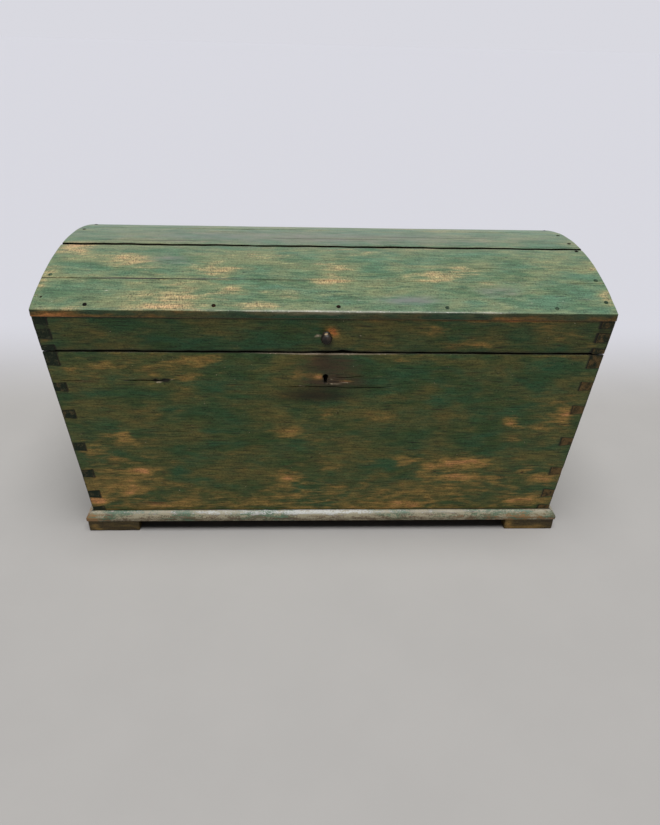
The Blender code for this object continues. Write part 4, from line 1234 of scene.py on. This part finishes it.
knob = {
    "sides": 48,
    # distance from the rail and radius, in millimetres, from the tenon's end to the tip
    "profile": ((0.2, 9.0), (0.9, 9.4), (1.8, 9.3), (2.5, 8.6), (3.6, 7.8), (5.0, 7.3), (6.6, 7.2),
                (8.2, 7.9), (9.6, 9.2), (11.2, 10.4), (13.2, 11.2), (15.6, 11.5), (18.0, 11.2),
                (20.4, 10.3), (22.6, 8.7), (24.2, 6.9), (25.4, 4.7), (26.1, 2.5), (26.4, 0.8)),
    "tenon": 0.0050,
    "seatShare": 0.98,      # the ring against the rail, as a share of the next one
    "wobble": 0.0002,       # hand turning is not quite round
    "wobbleFrom": 0.006,    # a smaller radius has none of it
    "wornHighlightSpot": (-0.001, 0.0165, 0.0042),     # the pale spot on top, rubbed wood and painted highlight: sideways, out from the rail, and its radius
}


def turnedKnob():
    # the profile, smoothed, turned about a line along Y, with the tenon behind it
    x, z = middleOf("knob", 0), middleOf("knob", 2)
    distance, radius = np.array(knob["profile"]).T / 1000
    fine = np.linspace(distance[0], distance[-1], 3 * len(distance))
    radius = np.interp(fine, distance, radius)
    smooth = np.convolve(np.pad(radius, 1, "edge"), (0.25, 0.5, 0.25), "valid")
    tenon = frontY - reach("knob", 1)[1]
    fine = np.concatenate([[tenon, 0.0, fine[0]], fine])
    smooth = np.concatenate([[knob["tenon"], knob["tenon"], smooth[0] * knob["seatShare"]], smooth])
    turn = np.linspace(0, 2 * np.pi, knob["sides"], endpoint=False)
    out, angle = np.meshgrid(fine, turn, indexing="ij")
    wide = smooth[:, None] + knob["wobble"] * np.sin(2 * angle + 1) * (smooth[:, None] > knob["wobbleFrom"])
    rings = np.stack([x + wide * np.cos(angle), frontY - out, z + wide * np.sin(angle)], -1)
    # the pale spot only on the upper half, where it is a painted highlight as well as wear
    sideways, spotOut, radius = knob["wornHighlightSpot"]
    away = np.hypot(rings[..., 0] - x - sideways, frontY - rings[..., 1] - spotOut)
    worn = bell(away, radius) * (rings[..., 2] > z)
    piece = tube("knob_turning", rings, [knobWood], {"worn": worn}, sharp=60)
    settle(piece, "lid", "knob_wood", "knob")


turnedKnob()


# Nails with hammered rose heads

nail = {
    "sides": 16,
    "radii": (0.04, 0.30, 0.55, 0.80, 0.95, 1.0),   # rings of the head, as shares of its radius
    "wobble": 0.07,         # how far the rim is from round, and each of its points from that
    "jitter": 0.02,
    "sink": 0.0005,         # pressed into the paint
    "crown": 0.0017,        # height at its middle and at its rim
    "rim": 0.0005,
    "rimShare": 0.3,        # how much of its height the outermost ring keeps
    "shankShares": ((0.0, 0.38), (0.5, 0.30), (1.0, 0.17)),     # way down its length, and radius
    "lengthShare": 0.9,     # of the CAD nail's length
    "askew": (0.3, 0.5, 0.8),       # any direction that no nail has
    "painted": ("front_nail_4", "front_nail_5", "right_end_nail_1", "right_end_nail_2",
                "left_end_nail_2"),
}


def nailPiece(name, base, up, radius, length, seed, finish):
    # a head made of a few hammered planes over a round plan, and a tapered shank under it
    random = np.random.default_rng(seed)
    up = np.array(up) / np.linalg.norm(up)
    side = np.cross(up, nail["askew"])
    side /= np.linalg.norm(side)
    other = np.cross(up, side)
    turn = np.linspace(0, 2 * np.pi, nail["sides"], endpoint=False)
    uneven = 1 + nail["wobble"] * np.sin(2 * turn + random.uniform(0, 6))
    uneven += random.normal(0, nail["jitter"], len(turn))
    share, angle = np.meshgrid(nail["radii"], turn, indexing="ij")
    planes = 4 + seed % 2
    headings = 2 * np.pi * np.arange(planes) / planes + random.uniform(0, 6)
    steep = (np.cos(angle[..., None] - headings)).max(-1)
    height = nail["crown"] - (nail["crown"] - nail["rim"]) * share * steep
    height[-1] *= nail["rimShare"]
    wide = share * radius * np.minimum(uneven, 1.0)
    shank = np.array(nail["shankShares"]) * (-length, radius)
    height = np.concatenate([height, np.repeat(shank[:, :1], len(turn), 1)])
    wide = np.concatenate([wide, np.repeat(shank[:, 1:], len(turn), 1)])
    angle = np.concatenate([angle, angle[:len(shank)]])
    flat = wide[..., None] * (np.cos(angle)[..., None] * side + np.sin(angle)[..., None] * other)
    rings = np.array(base) + flat + (height[..., None] - nail["sink"]) * up
    return tube(name, rings, [finish], sharp=24)


def lidNail(node, seed):
    points = nodePoints(node)
    far = np.hypot(points[:, 1] - middleY, points[:, 2] - domeZ)
    top, length = points[far.argmax()], far.max() - far.min()
    up = np.array([0, top[1] - middleY, top[2] - domeZ]) / far.max()
    base = top - up * (far.max() - domeRadius)
    low, high = reach(node, 0)
    length *= nail["lengthShare"]
    finish = paintedNail if node in nail["painted"] else nailIron
    piece = nailPiece(node + "_forged", base, up, (high - low) / 2, length, seed, finish)
    settle(piece, "lid", "old_iron", node)


def leafNail(node, body, seed):
    (left, right), (deep, high) = reach(node, 0), reach(node, 1)
    base = [middleOf(node, 0), high - nail["crown"] + nail["sink"], middleOf(node, 2)]
    radius, length = (right - left) / 2, nail["lengthShare"] * (high - deep)
    piece = nailPiece(node + "_forged", base, (0, 1, 0), radius, length, seed, nailIron)
    settle(piece, body, "old_iron", node)


lidNails = [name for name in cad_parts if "front_nail" in name or "end_nail" in name]
for seed, node in enumerate(sorted(lidNails)):
    lidNail(node, seed)
leafNails = [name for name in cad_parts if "leaf_nail" in name]
for seed, node in enumerate(sorted(leafNails)):
    leafNail(node, "lid" if "upper" in node else "chest_body", seed + 40)

# iron work that keeps its shape: hinges, lock and catch
ironWork = {
    "lid": ("left_upper_leaf", "right_upper_leaf", "lid_catch"),
    "chest_body": ("left_lower_leaf", "right_lower_leaf", "left_hinge_pin", "right_hinge_pin",
                   "lock_plate", "lock_case", "bolt_spring"),
    "bolt": ("lock_bolt",),
}
ironEdges = {
    "easing": 0.00035,
    "merge": 1e-6,
    "sharp": 35,            # degrees past which an edge is shaded sharp
    "bend": 40,             # and past which it is eased
}


def easedIron(node, body):
    # a merged copy of the node with eased edges
    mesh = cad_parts[node].data.copy()
    shape = bmesh.new()
    shape.from_mesh(mesh)
    bmesh.ops.remove_doubles(shape, verts=shape.verts, dist=ironEdges["merge"])
    shape.to_mesh(mesh)
    shape.free()
    mesh.materials.clear()
    mesh.materials.append(oldIron)
    mesh.shade_smooth()
    mesh.set_sharp_from_angle(angle=math.radians(ironEdges["sharp"]))
    piece = placed(node + "_eased", mesh)
    bevel = piece.modifiers.new("easing", "BEVEL")
    bevel.width = ironEdges["easing"]
    bevel.segments = 2
    bevel.limit_method = "ANGLE"
    bevel.angle_limit = math.radians(ironEdges["bend"])
    settle(piece, body, "old_iron", node)


for body, nodes in ironWork.items():
    for node in nodes:
        easedIron(node, body)
print("knob, nails and iron made")


# Floor, light and camera

studio = {
    "floor": (0.470, 0.455, 0.440),
    "mottling": (0.36, 0.35, 0.34),
    # tone of the painted shadow on the floor under the trunk
    "shade": (0.030, 0.028, 0.026),
    "wall": (0.692, 0.692, 0.745),
    "light": (0.97, 0.98, 1.0),
    "sweep": (0.24, 0.95),      # from one Y to the other the floor turns into the plain backdrop
    "wallShare": 0.974,         # how much darker the floor has to be there to match the backdrop
    "worldStrength": 0.10,
    # painted shadow under the trunk: how much darker the floor is there, where that starts, and over what
    # length
    "shadowUnderTrunk": (0.75, 0.005, 0.010),
    "size": 60.0,
}


def floorFinish():
    # a faintly mottled floor that turns into the backdrop, with a painted shadow under the trunk
    finish = Finish("floor_with_painted_shadow")
    ramp, scaled = finish.ramp, finish.scaled
    x, y = finish.add("ShaderNodeSeparateXYZ", Vector=finish.spot).outputs[:2]
    share, start, soft = studio["shadowUnderTrunk"]
    left, right = reach("front_left_foot", 0)[0] + start, reach("front_right_foot", 0)[1] - start
    front, back = reach("front_left_foot", 1)[0] + start, reach("rear_left_foot", 1)[1] - start
    # the painted shadow: a soft-edged box within the feet's outline, mixed to the shade tone
    under = scaled(ramp(y, front, front + soft), ramp(y, back - soft, back, 1.0, 0.0))
    under = scaled(under, ramp(x, left, left + soft))
    under = scaled(under, ramp(x, right - soft, right, share, 0.0))
    finish.colour = studio["floor"]
    finish.lay(finish.noise(0.25, 1.0, 5.0, 0.6), 0.35, 0.65, studio["mottling"], 0.10)
    finish.lay(y, *studio["sweep"], tuple(studio["wallShare"] * value for value in studio["wall"]))
    finish.colour = finish.mix(under, finish.colour, studio["shade"])
    return finish.done(0.85, **{"Specular IOR Level": 0.2})


def makeStage():
    # the floor, and a world that lights the trunk and shows as a plain backdrop
    mesh = bpy.data.meshes.new("floor")
    half = studio["size"] / 2
    corners = [(-half, -half, 0), (half, -half, 0), (half, half, 0), (-half, half, 0)]
    mesh.from_pydata(corners, [], [(0, 1, 2, 3)])
    mesh.materials.append(floorFinish())
    placed("floor", mesh)
    world = bpy.data.worlds.new("studio")
    world.use_nodes = True
    tree = world.node_tree
    light = tree.nodes["Background"]
    light.inputs["Color"].default_value = (*studio["light"], 1.0)
    light.inputs["Strength"].default_value = studio["worldStrength"]
    backdrop = tree.nodes.new("ShaderNodeBackground")
    backdrop.inputs["Color"].default_value = (*studio["wall"], 1.0)
    rays = tree.nodes.new("ShaderNodeLightPath")
    seen = rays.outputs["Is Camera Ray"]
    for other in ("Is Glossy Ray", "Is Transmission Ray"):
        either = tree.nodes.new("ShaderNodeMath")
        either.operation = "MAXIMUM"
        tree.links.new(seen, either.inputs[0])
        tree.links.new(rays.outputs[other], either.inputs[1])
        seen = either.outputs[0]
    chosen = tree.nodes.new("ShaderNodeMixShader")
    tree.links.new(seen, chosen.inputs[0])
    tree.links.new(light.outputs[0], chosen.inputs[1])
    tree.links.new(backdrop.outputs[0], chosen.inputs[2])
    tree.links.new(chosen.outputs[0], tree.nodes["World Output"].inputs["Surface"])
    bpy.context.scene.world = world


lamps = {
    # direction the light comes from, how wide it spreads in degrees, strength
    "ceiling": ((0.03, -0.13, 1.0), 46, 2.90),
}


def makeLamp(name, come, spread, strength):
    light = bpy.data.lights.new(name, "SUN")
    light.angle = math.radians(spread)
    light.energy = strength
    placed(name, light).rotation_euler = Vector(come).to_track_quat("Z", "Y").to_euler()


cameraView = {
    "place": (-0.0508, -1.4850, 1.0409),
    "yaw": 2.762,
    "pitch": 31.005,
    "roll": 1.562,
    "lens": 28.8,
}


def makeCamera():
    # the photo's own camera: turned by its yaw, tipped down by its pitch, then rolled
    yaw, pitch, roll = (math.radians(cameraView[key]) for key in ("yaw", "pitch", "roll"))
    ahead = Vector((math.sin(yaw) * math.cos(pitch), math.cos(yaw) * math.cos(pitch), -math.sin(pitch)))
    level = Vector((math.cos(yaw), -math.sin(yaw), 0))
    upward = level.cross(ahead)
    right = level * math.cos(roll) + upward * math.sin(roll)
    above = upward * math.cos(roll) - level * math.sin(roll)
    data = bpy.data.cameras.new("photo_view")
    data.lens = cameraView["lens"]
    data.sensor_width = 36.0
    data.sensor_fit = "AUTO"
    camera = placed("photo_view", data)
    turn = Matrix((right, above, -ahead)).transposed().to_4x4()
    camera.matrix_world = Matrix.Translation(cameraView["place"]) @ turn
    bpy.context.scene.camera = camera


makeStage()
for name, (come, spread, strength) in lamps.items():
    makeLamp(name, come, spread, strength)
makeCamera()
bpy.context.scene.view_settings.view_transform = "Standard"
print("stage, light and camera made")
